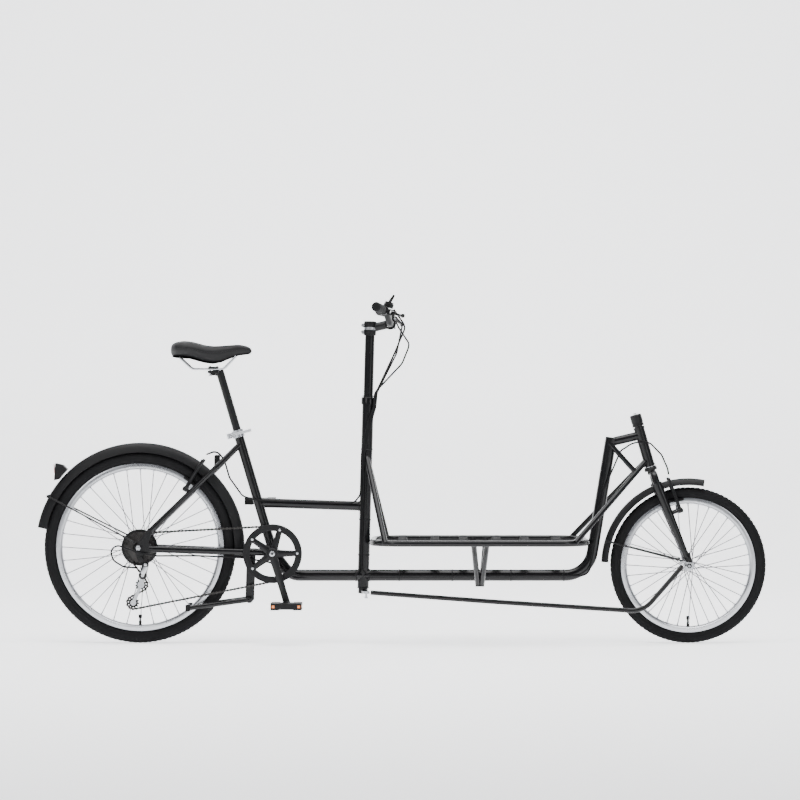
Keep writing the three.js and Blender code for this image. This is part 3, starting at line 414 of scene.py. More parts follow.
def rim(name, w):
    """The rim and, at its lowest point, the valve."""
    s = Shape()
    o, i, h = w["outer"], w["inner"], w["rim"]
    half = [
        (i, 3.0), (i + 0.8, 5.5), (i + 5, h - 1.6), (i + 8.2, h), (i + 9.2, h - 0.5),
        (i + 10, h), (o - 1.4, h), (o, h - 0.7), (o, h - 1.8), (o - 4.6, h - 2.6),
    ]
    s.turn(w["axle"], ACROSS, half + [(r, -y) for r, y in reversed(half)], 144, closed=True)
    s.make(name + "_rim_shape", w["body"], "silver_alloy", [name + "_rim"], sharp=30)
    valve = Shape()
    foot = w["axle"] + at(0, -i)
    stem = [(5, -1), (5, 12), (3.6, 13), (3.6, 22), (6, 22.5), (6, 33), (5, 34.5)]
    valve.turn(foot, at(0, 1), stem, 16)
    valve.make(name + "_valve", w["body"], "rubber")


def spokes(name, w):
    """Tangent spokes in pairs that lead and trail, each with a nipple at the rim and a head at the hub."""
    wires, nuts = Shape(), Shape()
    step = 2 * math.pi / SPOKES
    lace = CROSSING_HOLES * step
    nipple = [(1.5, 0), (2.0, 1), (2.0, 9), (2.9, 10), (2.9, 14)]
    for k in range(SPOKES):
        lead = 1 if (k // 2) % 2 == 0 else -1
        y = w["flanges"][k % 2]
        hole = radial(step * k + lead * lace)[0] * (w["flange"] - HOLE_IN)
        inside = w["axle"] + hole + ACROSS * (y + lead * HOLE_LIFT)
        end = w["axle"] + radial(step * k)[0] * (w["inner"] + 1) + ACROSS * (y * DISH)
        wires.rod(inside, end, SPOKE, count=8, edge=0.2)
        along = (end - inside).normalized()
        nuts.turn(end - along * 13, along, nipple, 10)
        head = ACROSS * lead
        nuts.turn(inside - head * 0.6, head, [(1.9, 0), (1.9, 1.2), (1.0, 2.0)], 8)
    wires.make(name + "_spokes", w["body"], "silver_alloy", material=WIRE)
    nuts.make(name + "_nipples", w["body"], "silver_alloy")


def hub(name, w):
    s = Shape()
    f = w["flange"]
    left, right = w["ends"]
    profile = [(5.6, left), (8.5, left), (9, left + 1)]
    for y in w["flanges"]:
        near = [(12, 9), (13.5, 3.4), (f - 1, 3), (f, 2)]
        profile += [(r, y - t) for r, t in near] + [(r, y + t) for r, t in reversed(near)]
    profile += [(9, right - 1), (8.5, right), (5.6, right)]
    s.turn(w["axle"], ACROSS, profile, 48, closed=True)
    s.make(name + "_hub_shape", w["body"], "silver_alloy", [name + "_hub"], sharp=30)


for label, wheel in WHEELS.items():
    tyre(label, wheel)
    rim(label, wheel)
    spokes(label, wheel)
    hub(label, wheel)

# ---- frame ----
PAINT = "frame_paint"
BOOM_Z, UP_FOOT, UP_TOP = 230.0, 1526.6, at(1603.5, 698)
BOOM_SLOPE = 52  # degrees, from the bottom bracket down to the boom
DECK_Z = 347.0
RAIL = 10.5  # radius of the platform rail


def upright_at(z):
    return at(UP_FOOT + (z - BOOM_Z) * (UP_TOP.x - UP_FOOT) / (UP_TOP.z - BOOM_Z), z)


def collar(s, origin, along):
    """A low bead round a main tube, where another tube meets it."""
    s.turn(origin, along, [(MAIN_TUBE + r, t) for r, t in ((0.1, 0), (1.9, 1.5), (1.5, 4), (0.1, 6))], 48)


def seat_tube():
    s = Shape()
    foot, top = at(CRANK.x, CRANK.z), seat_at(722)
    s.turn(foot, SEAT_UP, [(SLIM_TUBE, 0), (SLIM_TUBE, (top - foot).length)], 48)
    width = 2 * SHELL
    s.turn(CRANK - ACROSS * SHELL, ACROSS, [(19, 0), (21, 1.2), (21, width - 1.2), (19, width)], 48)
    end = at(column_at(BOOM_Z).x, BOOM_Z)
    elbow = at(CRANK.x + (CRANK.z - BOOM_Z) / math.tan(math.radians(BOOM_SLOPE)), BOOM_Z)
    s.tube(rounded([foot, elbow, end], 60, 4), MAIN_TUBE, 48)
    collar(s, end - at(22, 0), at(-1, 0))
    s.make("seat_tube_shape", "frame", PAINT, ["seat_tube"])
    cups = Shape()
    for side in (-1, 1):
        cups.turn(CRANK + ACROSS * (SHELL * side), ACROSS * side, [(19, 0), (19, 3), (16, 4), (11, 4.4)], 40)
    cups.make("bearing_cups", "frame", "black_alloy")


STAY_TUBE = 9.5
BRAKE_STUD = 5
DROPOUT = [(-16, 330), (-10, 308), (14, 304), (46, 312), (46, 332), (34, 346), (50, 384), (32, 392), (8, 352)]
SEAT_STAY = (at(343, 679, 5), at(262, 598, 43), at(120, 461, 48), at(40, 384, 67.5))
CHAIN_STAY = (at(36, 322, 66), at(200, 316, 51), at(345, 311, 37.5), at(CRANK.x - 10, 307, 24))
RACK_TAB = [(252, 600), (272, 600), (272, 636), (268, 640), (256, 640), (252, 636)]
STAND_PLATE = [(358, 146), (388, 146), (393, 305), (363, 305)]
BRAKES = {
    "rear": {"pivot": at(157, 525), "top": at(216, 624), "y": 42, "fixed": "frame"},
    "front": {"pivot": at(1836, 452), "top": at(1797, 562), "y": 41, "fixed": "fork"},
}


def brake_out(b):
    """The direction from a brake arm towards the tube that carries it."""
    arm = (b["top"] - b["pivot"]).normalized()
    return at(-arm.z, arm.x) if b["fixed"] == "frame" else at(arm.z, -arm.x)


def stays():
    s = Shape()
    for side in (-1, 1):
        s.tube(rounded([flip(p, side) for p in SEAT_STAY], 60, 6), STAY_TUBE, 32)
        b = BRAKES["rear"]
        pivot = b["pivot"] + ACROSS * (b["y"] * side)
        s.rod(pivot - brake_out(b) * 24, pivot + brake_out(b) * 10, BRAKE_STUD)
    s.rod(at(262, 598, -43), at(262, 598, 43), 7)
    s.make("seat_stays_tubes", "frame", PAINT, ["seat_stays"])
    tab = Shape().plate(RACK_TAB, -3, 3)
    tab.make("rack_tab", "frame", PAINT, bevel=0.6)
    s = Shape()
    plates = Shape()
    for side in (-1, 1):
        path = rounded([flip(p, side) for p in CHAIN_STAY], 120, 5)
        s.sweep(path, circle(8.5, 11, 32), up=ACROSS)
        ys = (64.5, 70.5) if side > 0 else (-70.5, -64.5)
        plates.plate(DROPOUT, *ys)
    s.rod(at(385, 309, -34), at(385, 309, 34), 8)
    s.make("chain_stays_tubes", "frame", PAINT, ["chain_stays"])
    plates.plate(STAND_PLATE, -4, 4)
    plates.make("dropouts_and_stand_plate", "frame", PAINT, bevel=0.8)
    eye = Shape().rod(at(371, 149, -4.2), at(371, 149, 4.2), 14, count=32)
    eye.make("stand_eye", "frame", PAINT)


def tubes():
    s = Shape()
    a, b = seat_at(477), column_at(465)
    d = (b - a).normalized()
    length = (b - a).length
    bead = [(SLIM_TUBE + r, t) for r, t in ((0.1, 0), (2, 1.5), (1.6, 3.5), (0.1, 5))]
    s.turn(a, d, [(SLIM_TUBE, 12), (SLIM_TUBE, length - 12)], 48)
    s.turn(a + d * 15, d, bead, 48)
    s.turn(b - d * MAIN_TUBE, -d, bead, 48)
    s.make("mid_tube_shape", "frame", PAINT, ["mid_tube"])
    s = Shape()
    low, high = column_at(190), column_at(812)
    run = (high - low).length
    cup = MAIN_TUBE + 4
    profile = [(18, 0), (MAIN_TUBE, 1), (MAIN_TUBE, run - 2), (MAIN_TUBE, run)]
    profile += [(cup, run), (cup, run + 22), (cup - 1.5, run + 24), (18, run + 24)]
    s.turn(low, high - low, profile, 56)
    s.make("steering_tube_shape", "frame", PAINT, ["steering_tube"])
    band = Shape()
    for z in (838, 186):
        band.turn(column_at(z), COLUMN_UP, [(17.2, 0), (20.5, 0.4), (20.5, 3.2), (17.2, 3.6)], 48)
    band.make("column_bearing_rings", "handlebar", "black_alloy")
    s = Shape()
    start = at(column_at(BOOM_Z).x, BOOM_Z)
    s.tube(rounded([start, at(UP_FOOT, BOOM_Z), UP_TOP], 94, 4), MAIN_TUBE, 48)
    collar(s, start + at(19, 0), at(1, 0))
    up = (UP_TOP - upright_at(BOOM_Z)).normalized()
    s.turn(UP_TOP - up, up, [(19.4, 0), (19.4, 1.5), (17, 3)], 48)
    s.make("main_boom_shape", "frame", PAINT, ["main_boom"])
    head_tube()
    braces()


def head_tube():
    s = Shape()
    low, high = head_at(602), head_at(735)
    run = (high - low).length
    end = [(16, 0), (19.6, 0.6), (19.6, 7), (18, 8)]
    s.turn(low, HEAD_UP, end + [(r, run - t) for r, t in reversed(end)], 48)
    a, b = upright_at(683), head_at(707)
    s.turn(a, b - a, [(15, 14), (15, (b - a).length - 8)], 40)
    s.make("head_tube_shape", "frame", PAINT, ["head_tube"])


def braces():
    for tag, side in SIDES.items():
        s = Shape()
        s.rod(column_at(636, 8 * side), at(837, DECK_Z, 196 * side), STAY_TUBE, count=32)
        s.make("column_brace_tube_" + tag, "frame", PAINT, ["column_brace_" + tag])
        s = Shape()
        low, high = at(1472, DECK_Z, 203 * side), at(1718, 616, 14 * side)
        s.rod(low.lerp(high, 0.012), high, 9, count=32)
        top = upright_at(677) + ACROSS * (14 * side)
        s.rod(top, low.lerp(high, 0.87), 8, count=32)
        s.make("front_truss_tubes_" + tag, "frame", PAINT, ["front_truss_" + tag])


BARS = (893, 1003, 1100, 1212, 1309, 1417)
BAR_SIZE = (30, 14)  # along the bicycle, and tall
RAIL_HALF = 209.5  # from the middle to the rail's centre line
HANGER_X = 1156


def platform():
    s = Shape()
    rear = column_at(DECK_Z).x + MAIN_TUBE + GAP + RAIL
    front = upright_at(DECK_Z).x - MAIN_TUBE - 1 - GAP - RAIL
    middle = (rear + front) / 2
    for x in (rear, front):
        spots = ((middle, -1), (x, -1), (x, 1), (middle, 1))
        s.tube(rounded([at(u, DECK_Z, RAIL_HALF * side) for u, side in spots], 100, 5), RAIL, 32)
    s.make("platform_rails", "frame", PAINT, ["cargo_platform"])
    bars = Shape()
    for x in BARS:
        bars.block(at(x, DECK_Z + 3.5), (BAR_SIZE[0], 2 * RAIL_HALF, BAR_SIZE[1]))
    bars.make("platform_bars", "frame", PAINT, bevel=2.2, material=DULL)
    s = Shape()
    for side in (-1, 1):
        for end in (-1, 1):
            top, foot = at(HANGER_X + 22 * end, 345, 207 * side), at(HANGER_X + 7 * end, 201, 24 * side)
            s.rod(top, foot, 9, count=28)
    s.make("hanger_legs", "frame", PAINT, ["platform_hanger"])
    foot = Shape().block(at(HANGER_X, 201), (30, 60, 17))
    foot.make("hanger_saddle", "frame", PAINT, bevel=2)


seat_tube()
stays()
tubes()
platform()

# ---- steering ----
BAR = at(851, 1086)
BAR_RADIUS = 11.1
GRIP_IN, GRIP_OUT = at(838, 1127, 104), at(809, 1137, 289)
GRIP_FROM, GRIP_TO = 172, 286  # distances from the middle of the bar
GRIP_RIDGES = 17
ARM_Z, ARM_AHEAD, ARM_Y = 176, 13, -75  # where the tie rod's pin sits on the column's arm


def on_grip(y, side):
    return flip(GRIP_IN.lerp(GRIP_OUT, (y - GRIP_IN.y) / (GRIP_OUT.y - GRIP_IN.y)), side)


def steering():
    s = Shape()
    low, high = column_at(168), column_at(1088)
    run = (high - low).length
    s.turn(low, high - low, [(14, 0), (16.4, 1), (16.4, run - 1), (14, run)], 48)
    s.make("column_shaft", "handlebar", PAINT, ["steering_column"])
    root = column_at(ARM_Z)
    pin = at(root.x + ARM_AHEAD, ARM_Z, ARM_Y)
    arm = Shape()
    along = (pin - root).normalized()
    turn = Matrix((along, COLUMN_UP.cross(along), COLUMN_UP)).transposed().to_quaternion()
    arm.block(root.lerp(pin, 0.5), ((pin - root).length, 20, 8), turn)
    arm.make("steering_arm", "handlebar", PAINT, bevel=1.2)
    knuckle = Shape()
    knuckle.turn(pin - COLUMN_UP * 4.5, COLUMN_UP, [(9, 0), (11, 1), (11, 8), (9, 9)], 32)
    knuckle.turn(pin - COLUMN_UP * 20, COLUMN_UP, [(6.5, 0), (6.5, 5), (4, 5.4), (4, 15)], 6)
    knuckle.make("steering_arm_bolt", "handlebar", "silver_alloy", sharp=30)
    half = [at(BAR.x, BAR.z, 30), at(BAR.x, BAR.z, 48), GRIP_IN, GRIP_OUT]
    path = rounded([flip(p, -1) for p in reversed(half)] + half, 40, 4)
    s = Shape().tube(path, BAR_RADIUS, 36)
    s.turn(BAR - ACROSS * 34, ACROSS, [(11.2, 0), (12.7, 6), (12.7, 62), (11.2, 68)], 40)
    s.make("handlebar_shape", "handlebar", "black_alloy", ["handlebar"])
    for tag, side in SIDES.items():
        grip(tag, on_grip(GRIP_FROM, side), on_grip(GRIP_TO, side))
    screws = Shape()
    for z in (1058, 1081):
        p = at(column_at(z).x - 24, z)
        screws.turn(p - ACROSS * 13.5, ACROSS, [(4.6, 0), (5.2, 0.8), (5.2, 26.2), (4.6, 27)], 20)
    for dz in (15, -15):
        screws.turn(BAR + at(16, dz) - ACROSS * 12, ACROSS, [(3, 0), (3.6, 0.5), (3.6, 4), (3, 4.4)], 18)
    screws.make("stem_screws", "handlebar", "silver_alloy")
    cap = Shape()
    cap.turn(column_at(1090), COLUMN_UP, [(19, 0), (20, 1), (20, 3.6), (17, 5), (4, 5.2), (3.6, 4)], 40)
    cap.make("stem_cap", "handlebar", "black_alloy")


def grip(tag, a, b):
    """A ribbed rubber sleeve from a to b, with a cap on its outer end."""
    run = (b - a).length
    profile = [(12.2, 0), (15.4, 0.3), (16.4, 1.5), (16.4, 4), (14.8, 5)]
    for k in range(GRIP_RIDGES):
        t = 7 + k * (run - 15) / GRIP_RIDGES
        swell = 15.0 + 0.8 * math.sin(math.pi * k / GRIP_RIDGES)
        profile += [(swell, t), (swell, t + 3.6), (swell - 0.7, t + 4.0), (swell - 0.7, t + 5.0)]
    profile += [(15.4, run - 7), (16.2, run - 6), (16.2, run), (15, run + 1)]
    sleeve = Shape().turn(a, b - a, profile, 40)
    sleeve.make("grip_sleeve_" + tag, "handlebar", "rubber", ["grip_" + tag])
    end = [(9, 0), (15.2, 0.4), (15.2, 2.6), (13.6, 4), (11, 4), (10.4, 2.6)]
    cap = Shape().turn(b, b - a, end, 40)
    cap.make("grip_end_" + tag, "handlebar", "black_alloy")


def fork():
    s = Shape()
    s.turn(head_at(575), HEAD_UP, [(14.2, 0), (14.2, 210)], 40)
    leg_top = at(1757, 540, 42)
    arch = [flip(leg_top, -1), at(1746, 577, -34), at(1746, 577, 34), leg_top]
    s.tube(rounded(arch, 22, 6), 12.5, 36)
    b = BRAKES["front"]
    for side in (-1, 1):
        top = flip(leg_top, side)
        down = flip(at(FRONT.x - 6, FRONT.z + 26, 49), side) - top
        steps = [top + down * (k / 10 - 0.02) for k in range(11)]
        taper = [1.04 - 0.048 * k for k in range(12)]
        s.sweep([*steps, top + down], circle(12, 17, 36), scale=taper, up=ACROSS)
        pivot = b["pivot"] + ACROSS * (b["y"] * side)
        out = brake_out(b)
        s.rod(pivot - out * 44, pivot + out * 10, BRAKE_STUD)
    s.make("fork_tubes", "fork", PAINT, ["fork"])
    ends = Shape()
    outline = [(-13, 0), (-9, -11), (9, -11), (13, 0), (4, 44), (-20, 44)]
    for low, high in ((-51.5, -46.5), (46.5, 51.5)):
        ends.plate([(FRONT.x + x, FRONT.z + z) for x, z in outline], low, high)
    ends.make("fork_ends", "fork", PAINT, bevel=1)
    headset()


def headset():
    cups = Shape()
    cups.turn(head_at(586), HEAD_UP, [(15, 0), (21, 0.6), (22, 3), (22, 9), (20, 12), (20, 15)], 44)
    cups.make("lower_headset", "fork", "black_alloy", sharp=30)
    ring = Shape().turn(head_at(599), HEAD_UP, [(15, 0), (20.6, 0.3), (20.6, 1.6), (15, 1.9)], 44)
    ring.make("headset_seal", "fork", "silver_alloy", sharp=30)
    cap = [(15, 0), (20, 0.5), (20, 8), (18.6, 9), (18.6, 11), (20, 12), (20, 38), (18, 41), (5, 42)]
    top = Shape().turn(head_at(737), HEAD_UP, cap, 44)
    top.make("upper_headset", "fork", "black_alloy", sharp=30)
    bolt = Shape().turn(head_at(778.5), HEAD_UP, [(5.4, 0), (5.4, 3), (4.6, 4), (2.6, 4), (2.4, 2)], 24)
    bolt.make("headset_bolt", "fork", "silver_alloy")


# ---- fenders ----
BLADE = 2.0  # thickness of a fender
SHOULDER = 3.2  # the higher, the flatter the crown and the tighter the shoulders


def fender(axle, radius, start, stop, half, depth, steps):
    """A thin rolled blade round an axle, flat-crowned with rounded shoulders; angles from straight ahead."""
    across = [-1 + k / 10 for k in range(21)]
    outer = [(half * u, -depth * abs(u) ** SHOULDER) for u in across]
    inner = [(u * (1 - BLADE / half), v - BLADE) for u, v in reversed(outer)]
    rings = []
    for p in arc(axle, radius, start, stop, steps):
        out = (p - axle).normalized()
        rings.append([p + ACROSS * u + out * v for u, v in outer + inner])
    return Shape().rings(rings)


STAYS = {
    "rear": {"body": "frame", "blade": at(-310, 499, 27.5), "eye": at(-14, 346, 74), "knob": (5, 4, 4.6)},
    "front": {"body": "fork", "blade": at(1590, 346, 25), "eye": at(1838, 282, 56), "knob": (4, 3, 4.4)},
}
STAY = 2.6  # radius of a fender stay


def fenders():
    blade = fender(REAR, 355.5, -6, 169, 27.5, 31, 90)
    blade.make("rear_fender_blade", "frame", "black_plastic", ["rear_fender"])
    blade = fender(FRONT, 295.4, 79, 178, 25, 21, 60)
    blade.make("front_fender_blade", "fork", "black_plastic", ["front_fender"])
    for label, kit in STAYS.items():
        wires, fittings = Shape(), Shape()
        inner, outer, radius = kit["knob"]
        for side in (-1, 1):
            a, b = flip(kit["blade"], side), flip(kit["eye"], side)
            wires.rod(a, b, STAY, count=12)
            fittings.block(a, (12, 5, 10))
            turned = side if label == "front" else 1
            fittings.rod(b - ACROSS * (inner * turned), b + ACROSS * (outer * turned), radius)
        wires.make(label + "_fender_stays", kit["body"], "black_alloy")
        fittings.make(label + "_fender_fittings", kit["body"], "black_plastic", bevel=0.8)


# ---- drive ----
CHAIN_Y, CHAINLINE = -50, -35  # the chain wheel's plane, and the cogs' and jockeys'
CHAIN_PITCH = 12.7
JOCKEY_REACH, COG_REACH, RING_REACH = 22, 48.5, 93  # from each centre to the middle of the chain
COGS = (53, 44, 40, 36, 33, 29.5, 26)
COG_FIRST, COG_STEP = -30, 5
CRANK_Y = 69  # middle of a crank arm
ARMS = 5


def toothed(count, y0, y1, inner, root, tip, centre):
    """A ring with sprocket teeth round it."""
    pitch = 2 * math.pi / count
    tooth = ((-0.36, root), (-0.14, tip - 0.5), (0.0, tip), (0.14, tip - 0.5), (0.36, root))
    outer = [(r, pitch * (k + share)) for k in range(count) for share, r in tooth]

    def ring(y, radius=None):
        spots = [(radius or r, a) for r, a in outer]
        return [centre + Vector((r * math.sin(a), y, r * math.cos(a))) for r, a in spots]

    return Shape().rings([ring(y0), ring(y1), ring(y1, inner), ring(y0, inner)], closed=True)


def chain_path():
    """The chain's line round the chain wheel, both jockeys and the sprocket."""
    upper, lower = place("jockey_upper_spin"), place("jockey_lower_spin")
    wheels = [
        (CRANK, CHAIN_Y, RING_REACH, 1),
        (lower, CHAINLINE, JOCKEY_REACH, 1),
        (upper, CHAINLINE, JOCKEY_REACH, -1),
        (REAR, CHAINLINE, COG_REACH, 1),
    ]
    heads = []
    for here, ahead in zip(wheels, wheels[1:] + wheels[:1]):
        (a, ra, ta), (b, rb, tb) = (here[0], *here[2:]), (ahead[0], *ahead[2:])
        d = math.hypot(b.x - a.x, b.z - a.z)
        heads.append(math.atan2(b.z - a.z, b.x - a.x) - math.asin((ta * ra - tb * rb) / d))
    line = []
    for i, (c, y, r, turn) in enumerate(wheels):
        arriving = heads[i - 1]
        wrap = ((arriving - heads[i]) * turn) % (2 * math.pi)
        steps = max(3, math.ceil(wrap / 0.1))
        for k in range(steps + 1):
            a = arriving - turn * wrap * k / steps
            line.append(at(c.x - turn * r * math.sin(a), c.z + turn * r * math.cos(a), y))
    return [*line, line[0]]


def evenly(line, pitch):
    """An even number of points along a closed line, about a pitch apart."""
    total = sum((b - a).length for a, b in zip(line, line[1:]))
    count = 2 * round(total / pitch / 2)
    step, out, left = total / count, [], 0.0
    for a, b in zip(line, line[1:]):
        length = (b - a).length
        while left < length and len(out) < count:
            out.append(a.lerp(b, left / length))
            left += step
        left -= length
    return out


def link(p, q, run, up):
    """A link plate's outline from pin p to pin q, waisted in the middle."""
    outline = []
    for c, other, sign in ((p, q, -1), (q, p, 1)):
        for degrees in (-70, -35, 0, 35, 70):
            t = math.radians(degrees) * sign
            outline.append(c + run * (sign * 4.1 * math.cos(t)) + up * (-4.6 * math.sin(t)))
        outline.append(c.lerp(other, 0.5) + up * (2.7 * sign))
    return outline


def chain():
    pins = evenly(chain_path(), CHAIN_PITCH)
    outer, inner, rollers = Shape(), Shape(), Shape()
    for k, p in enumerate(pins):
        q = pins[(k + 1) % len(pins)]
        run = (q - p).normalized()
        up = ACROSS.cross(run).normalized()
        across = run.cross(up)
        target, y = (outer, 2.6) if k % 2 else (inner, 1.7)
        outline = link(p, q, run, up)
        for side in (-1, 1):
            faces = [across * (y * side) + across * 0.45 * half for half in (1, -1)]
            target.rings([[v + offset for v in outline] for offset in faces])
        rollers.turn(p - across * 1.4, across, [(3.8, 0), (3.8, 2.8)], 10)
        rollers.turn(p - across * 3.5, across, [(1.8, 0), (1.8, 7)], 8)
    outer.make("chain_outer_plates", "frame", "drive_steel", ["chain"], sharp=30)
    inner.make("chain_inner_plates", "frame", "drive_steel", sharp=30)
    rollers.make("chain_rollers", "frame", "drive_steel")


def drive():
    ring = toothed(46, CHAIN_Y - 1.4, CHAIN_Y + 1.4, 79, 89.5, 95, CRANK)
    ring.make("chainring_teeth", "cranks", "black_alloy", ["chainring"], sharp=30)
    guard = Shape()
    lip = [(77, 0), (99, 0), (100, 0.6), (100, 1.6), (99, 2.2), (86, 2.2), (77, 1.6)]
    guard.turn(CRANK - ACROSS * 56.5, ACROSS, lip, 128, closed=True)
    guard.make("chain_guard_ring", "cranks", "black_plastic", sharp=30)
    spider, bolts = Shape(), Shape()
    arm = circle(3.2, 10.5, 20)
    for k in range(ARMS):
        out = radial(2 * math.pi * k / ARMS + 0.3)[0]
        end = CRANK + out * 84 - ACROSS * 53
        path = [CRANK + out * 12 - ACROSS * 54, CRANK + out * 50 - ACROSS * 53.6, end]
        spider.sweep(path, arm, scale=[1.3, 1.0, 0.85], up=ACROSS)
        bolts.turn(end - ACROSS * 4.4, ACROSS, [(3.2, 0), (4.2, 0.6), (4.2, 2), (3.8, 2.4)], 20)
    spider.turn(CRANK - ACROSS * 61, ACROSS, [(17, 0), (20, 1.4), (21, 8), (18, 12)], 40)
    spider.make("spider", "cranks", "black_alloy")
    bolts.make("chainring_bolts", "cranks", "silver_alloy")
    for tag, side in SIDES.items():
        crank(tag, side)
    sprockets()
    for which in ("upper", "lower"):
        c = place(f"jockey_{which}_spin")
        wheel = toothed(11, CHAINLINE - 2.6, CHAINLINE + 2.6, 3.6, 15.5, 20.5, at(c.x, c.z))
        wheel.make(f"jockey_{which}_wheel", f"jockey_{which}", "black_plastic", [f"jockey_{which}"], sharp=30)


def crank(tag, side):
    end = place(f"pedal_{tag}_spin")
    end.y = CRANK_Y * side
    a = CRANK + ACROSS * end.y
    path = [a, a.lerp(end, 0.3), a.lerp(end, 0.75), end]
    s = Shape().sweep(path, circle(6.4, 12, 28), scale=[1.25, 1.05, 0.95, 1.0], up=ACROSS)
    for c, r in ((a, 18), (end, 13)):
        s.turn(c - ACROSS * 7, ACROSS, [(r - 1.2, 0), (r, 1.2), (r, 12.8), (r - 1.2, 14)], 40)
    if tag == "left":
        s.rod(CRANK - ACROSS * 70, CRANK + ACROSS * 70, 9)
    s.make("crank_arm_" + tag, "cranks", "black_alloy", ["crank_" + tag])
    head = [(9, 0), (9, 1.2), (7.4, 2.4), (3.6, 2.4), (3.4, 0.8)]
    bolt = Shape().turn(CRANK + ACROSS * (75 * side), ACROSS * side, head, 28)
    bolt.make("crank_bolt_" + tag, "cranks", "silver_alloy")


def sprockets():
    s = Shape()
    for i, r in enumerate(COGS):
        teeth = max(12, round(2 * math.pi * r / CHAIN_PITCH))
        y = COG_FIRST - COG_STEP * i
        cog = toothed(teeth, y - 1, y + 1, r * 0.55, r - 4.2, r, REAR)
        base = len(s.verts)
        s.verts += cog.verts
        s.faces += [tuple(v + base for v in f) for f in cog.faces]
    s.turn(REAR - ACROSS * 61, ACROSS, [(13.6, 0), (19, 0), (22, 10), (27, 30), (13.6, 31)], 40, closed=True)
    s.make("sprockets", "freewheel", "drive_steel", ["freewheel"], sharp=30)


# ---- cables ----
def lane(z, degrees, clear=4.2):
    """A place beside the column at a height, at an angle round it from straight ahead."""
    a = math.radians(degrees)
    return column_at(z) + Vector((math.cos(a), math.sin(a), 0)) * (MAIN_TUBE + clear)


def winding(degrees):
    """A housing's wrap round the column, from where the bars turn down to its own lane."""
    loose = [lane(852, degrees + 93, 11), lane(804, degrees + 93, 8)]
    return loose + [lane(762, degrees + 60), lane(700, degrees + 25), lane(644, degrees)]


def lever_pivot(side):
    pitch = math.radians(18 if side < 0 else 36)
    return on_grip(146, side) + at(math.cos(pitch), -math.sin(pitch)) * 33


def cable(name, points, node, bodies, start, end):
    s = Shape().tube(rounded(points, 34, 8), HOUSING, 12)
    o = s.make(name, None, "rubber", [node] if node else [])
    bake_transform(o)


BESIDE = -MAIN_TUBE - 3.4  # the sideways place of the housings along the boom
CROSSING = at(1652, 664, -4)  # where the front brake's housing leaves the frame
FRONT_RUN = [at(1577, 520, BESIDE), at(1607, 590, -22), at(1636, 655, -3), CROSSING]
FRONT_TAIL = [
    CROSSING, at(1668, 676, -6), at(1692, 684, -24), at(1732, 684, -24),
    at(1774, 640, -24), at(1794, 594, -26), at(1797, 574, -30),
]
REAR_FALL = [at(918, 1015, -34), at(892, 950, -52)]
REAR_RUN = [
    at(728, 475, -20.5), at(398, 486, -21), at(350, 500, -22), at(305, 562, -14),
    at(287, 622, -9), at(262, 655, -12), at(228, 642, -30),
]
SHIFT_FALL = [at(905, 1075, -96), at(866, 985, -30)]
SHIFT_RUN = [
    at(735, BOOM_Z, BESIDE), at(540, BOOM_Z, BESIDE), at(440, 276, -27), at(345, 292, -40),
    at(200, 299, -54), at(60, 300, -80), at(0, 312, -98), at(-70, 338, -98),
    at(-93, 318, -92), at(-84, 284, -80), at(-50, 262, -66), at(-4, 258, -62),
]
FRONT_LANE, REAR_LANE, SHIFT_LANE = -108, -136, -122
COLUMN_TIES = (659, 420, 300)
BOOM_TIES = (880, 1060, 1260, 1440)


def cables():
    low, high = to_row(column_at(850)), to_row(column_at(1050))
    turn = ("frame", "handlebar")
    start = lever_pivot(-1) + at(0.6, -0.8) * 17
    fall = [start, start + Vector((0.35, 0.85, -0.4)) * 60, at(873, 985, -14), *winding(FRONT_LANE)]
    run = [lane(250, FRONT_LANE), at(782, BOOM_Z, BESIDE), at(UP_FOOT, BOOM_Z, BESIDE), *FRONT_RUN]
    cable("front_brake_housing", fall + run, "front_brake_cable", turn, low, high)
    swing = to_row(at(1690, 684)), to_row(at(1794, 594))
    cable("front_brake_housing_end", FRONT_TAIL, None, ("frame", "fork"), *swing)
    start = lever_pivot(1) + at(0.6, -0.8) * 17
    fall = [start, start + Vector((0.2, -0.85, -0.4)) * 60, *REAR_FALL, *winding(REAR_LANE)]
    run = [lane(505, REAR_LANE), *REAR_RUN]
    cable("rear_brake_housing", fall + run, "rear_brake_cable", turn, low, high)
    start = on_grip(117, -1) + at(0.55, 0.83) * 21 + at(0.8, -0.6) * 22
    fall = [start, *SHIFT_FALL, *winding(SHIFT_LANE)]
    cable("shift_housing", fall + [lane(250, SHIFT_LANE), *SHIFT_RUN], "shift_cable", turn, low, high)
    ties = Shape()
    for z in COLUMN_TIES:
        tie = [(19.6, 0), (20.6, 0.3), (20.6, 4.7), (19.6, 5)]
        ties.turn(column_at(z) - COLUMN_UP * 2.5, COLUMN_UP, tie, 48)
    for x in BOOM_TIES:
        ties.turn(at(x, BOOM_Z), at(1, 0), [(19.6, 0), (20.5, 0.3), (20.5, 4), (19.6, 4.3)], 48)
    ties.make("cable_ties", "frame", "black_plastic")


def to_row(p):
    """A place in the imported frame's metres."""
    return Vector((p.x * MM + REAR_X, p.y * MM, p.z * MM))


# ---- saddle ----
# Each station: its place along the bicycle, half its width, its underside and its top
STATIONS = [
    (104, 22, 981, 1008), (110, 46, 972, 1016), (124, 68, 968, 1021.5), (146, 76, 967, 1023),
    (172, 75, 965, 1021), (196, 66, 958, 1015.5), (222, 50, 951, 1008), (246, 36, 948, 1005),
    (275, 27, 953, 1006), (305, 21, 966, 1009), (335, 18, 976, 1012), (358, 16, 979, 1010),
    (374, 12, 981, 1005), (382, 6, 985, 998),
]
SECTION = 40  # points round the cover
VOXEL = 5.0
PRESSURE = 4.0
CLOTH_FRAMES = 20
MOST_SWELL = 2.0  # the furthest that the cloth may move any point
SEAM_FROM, SEAM_TO, SEAM_POINTS = 122, 370, 60


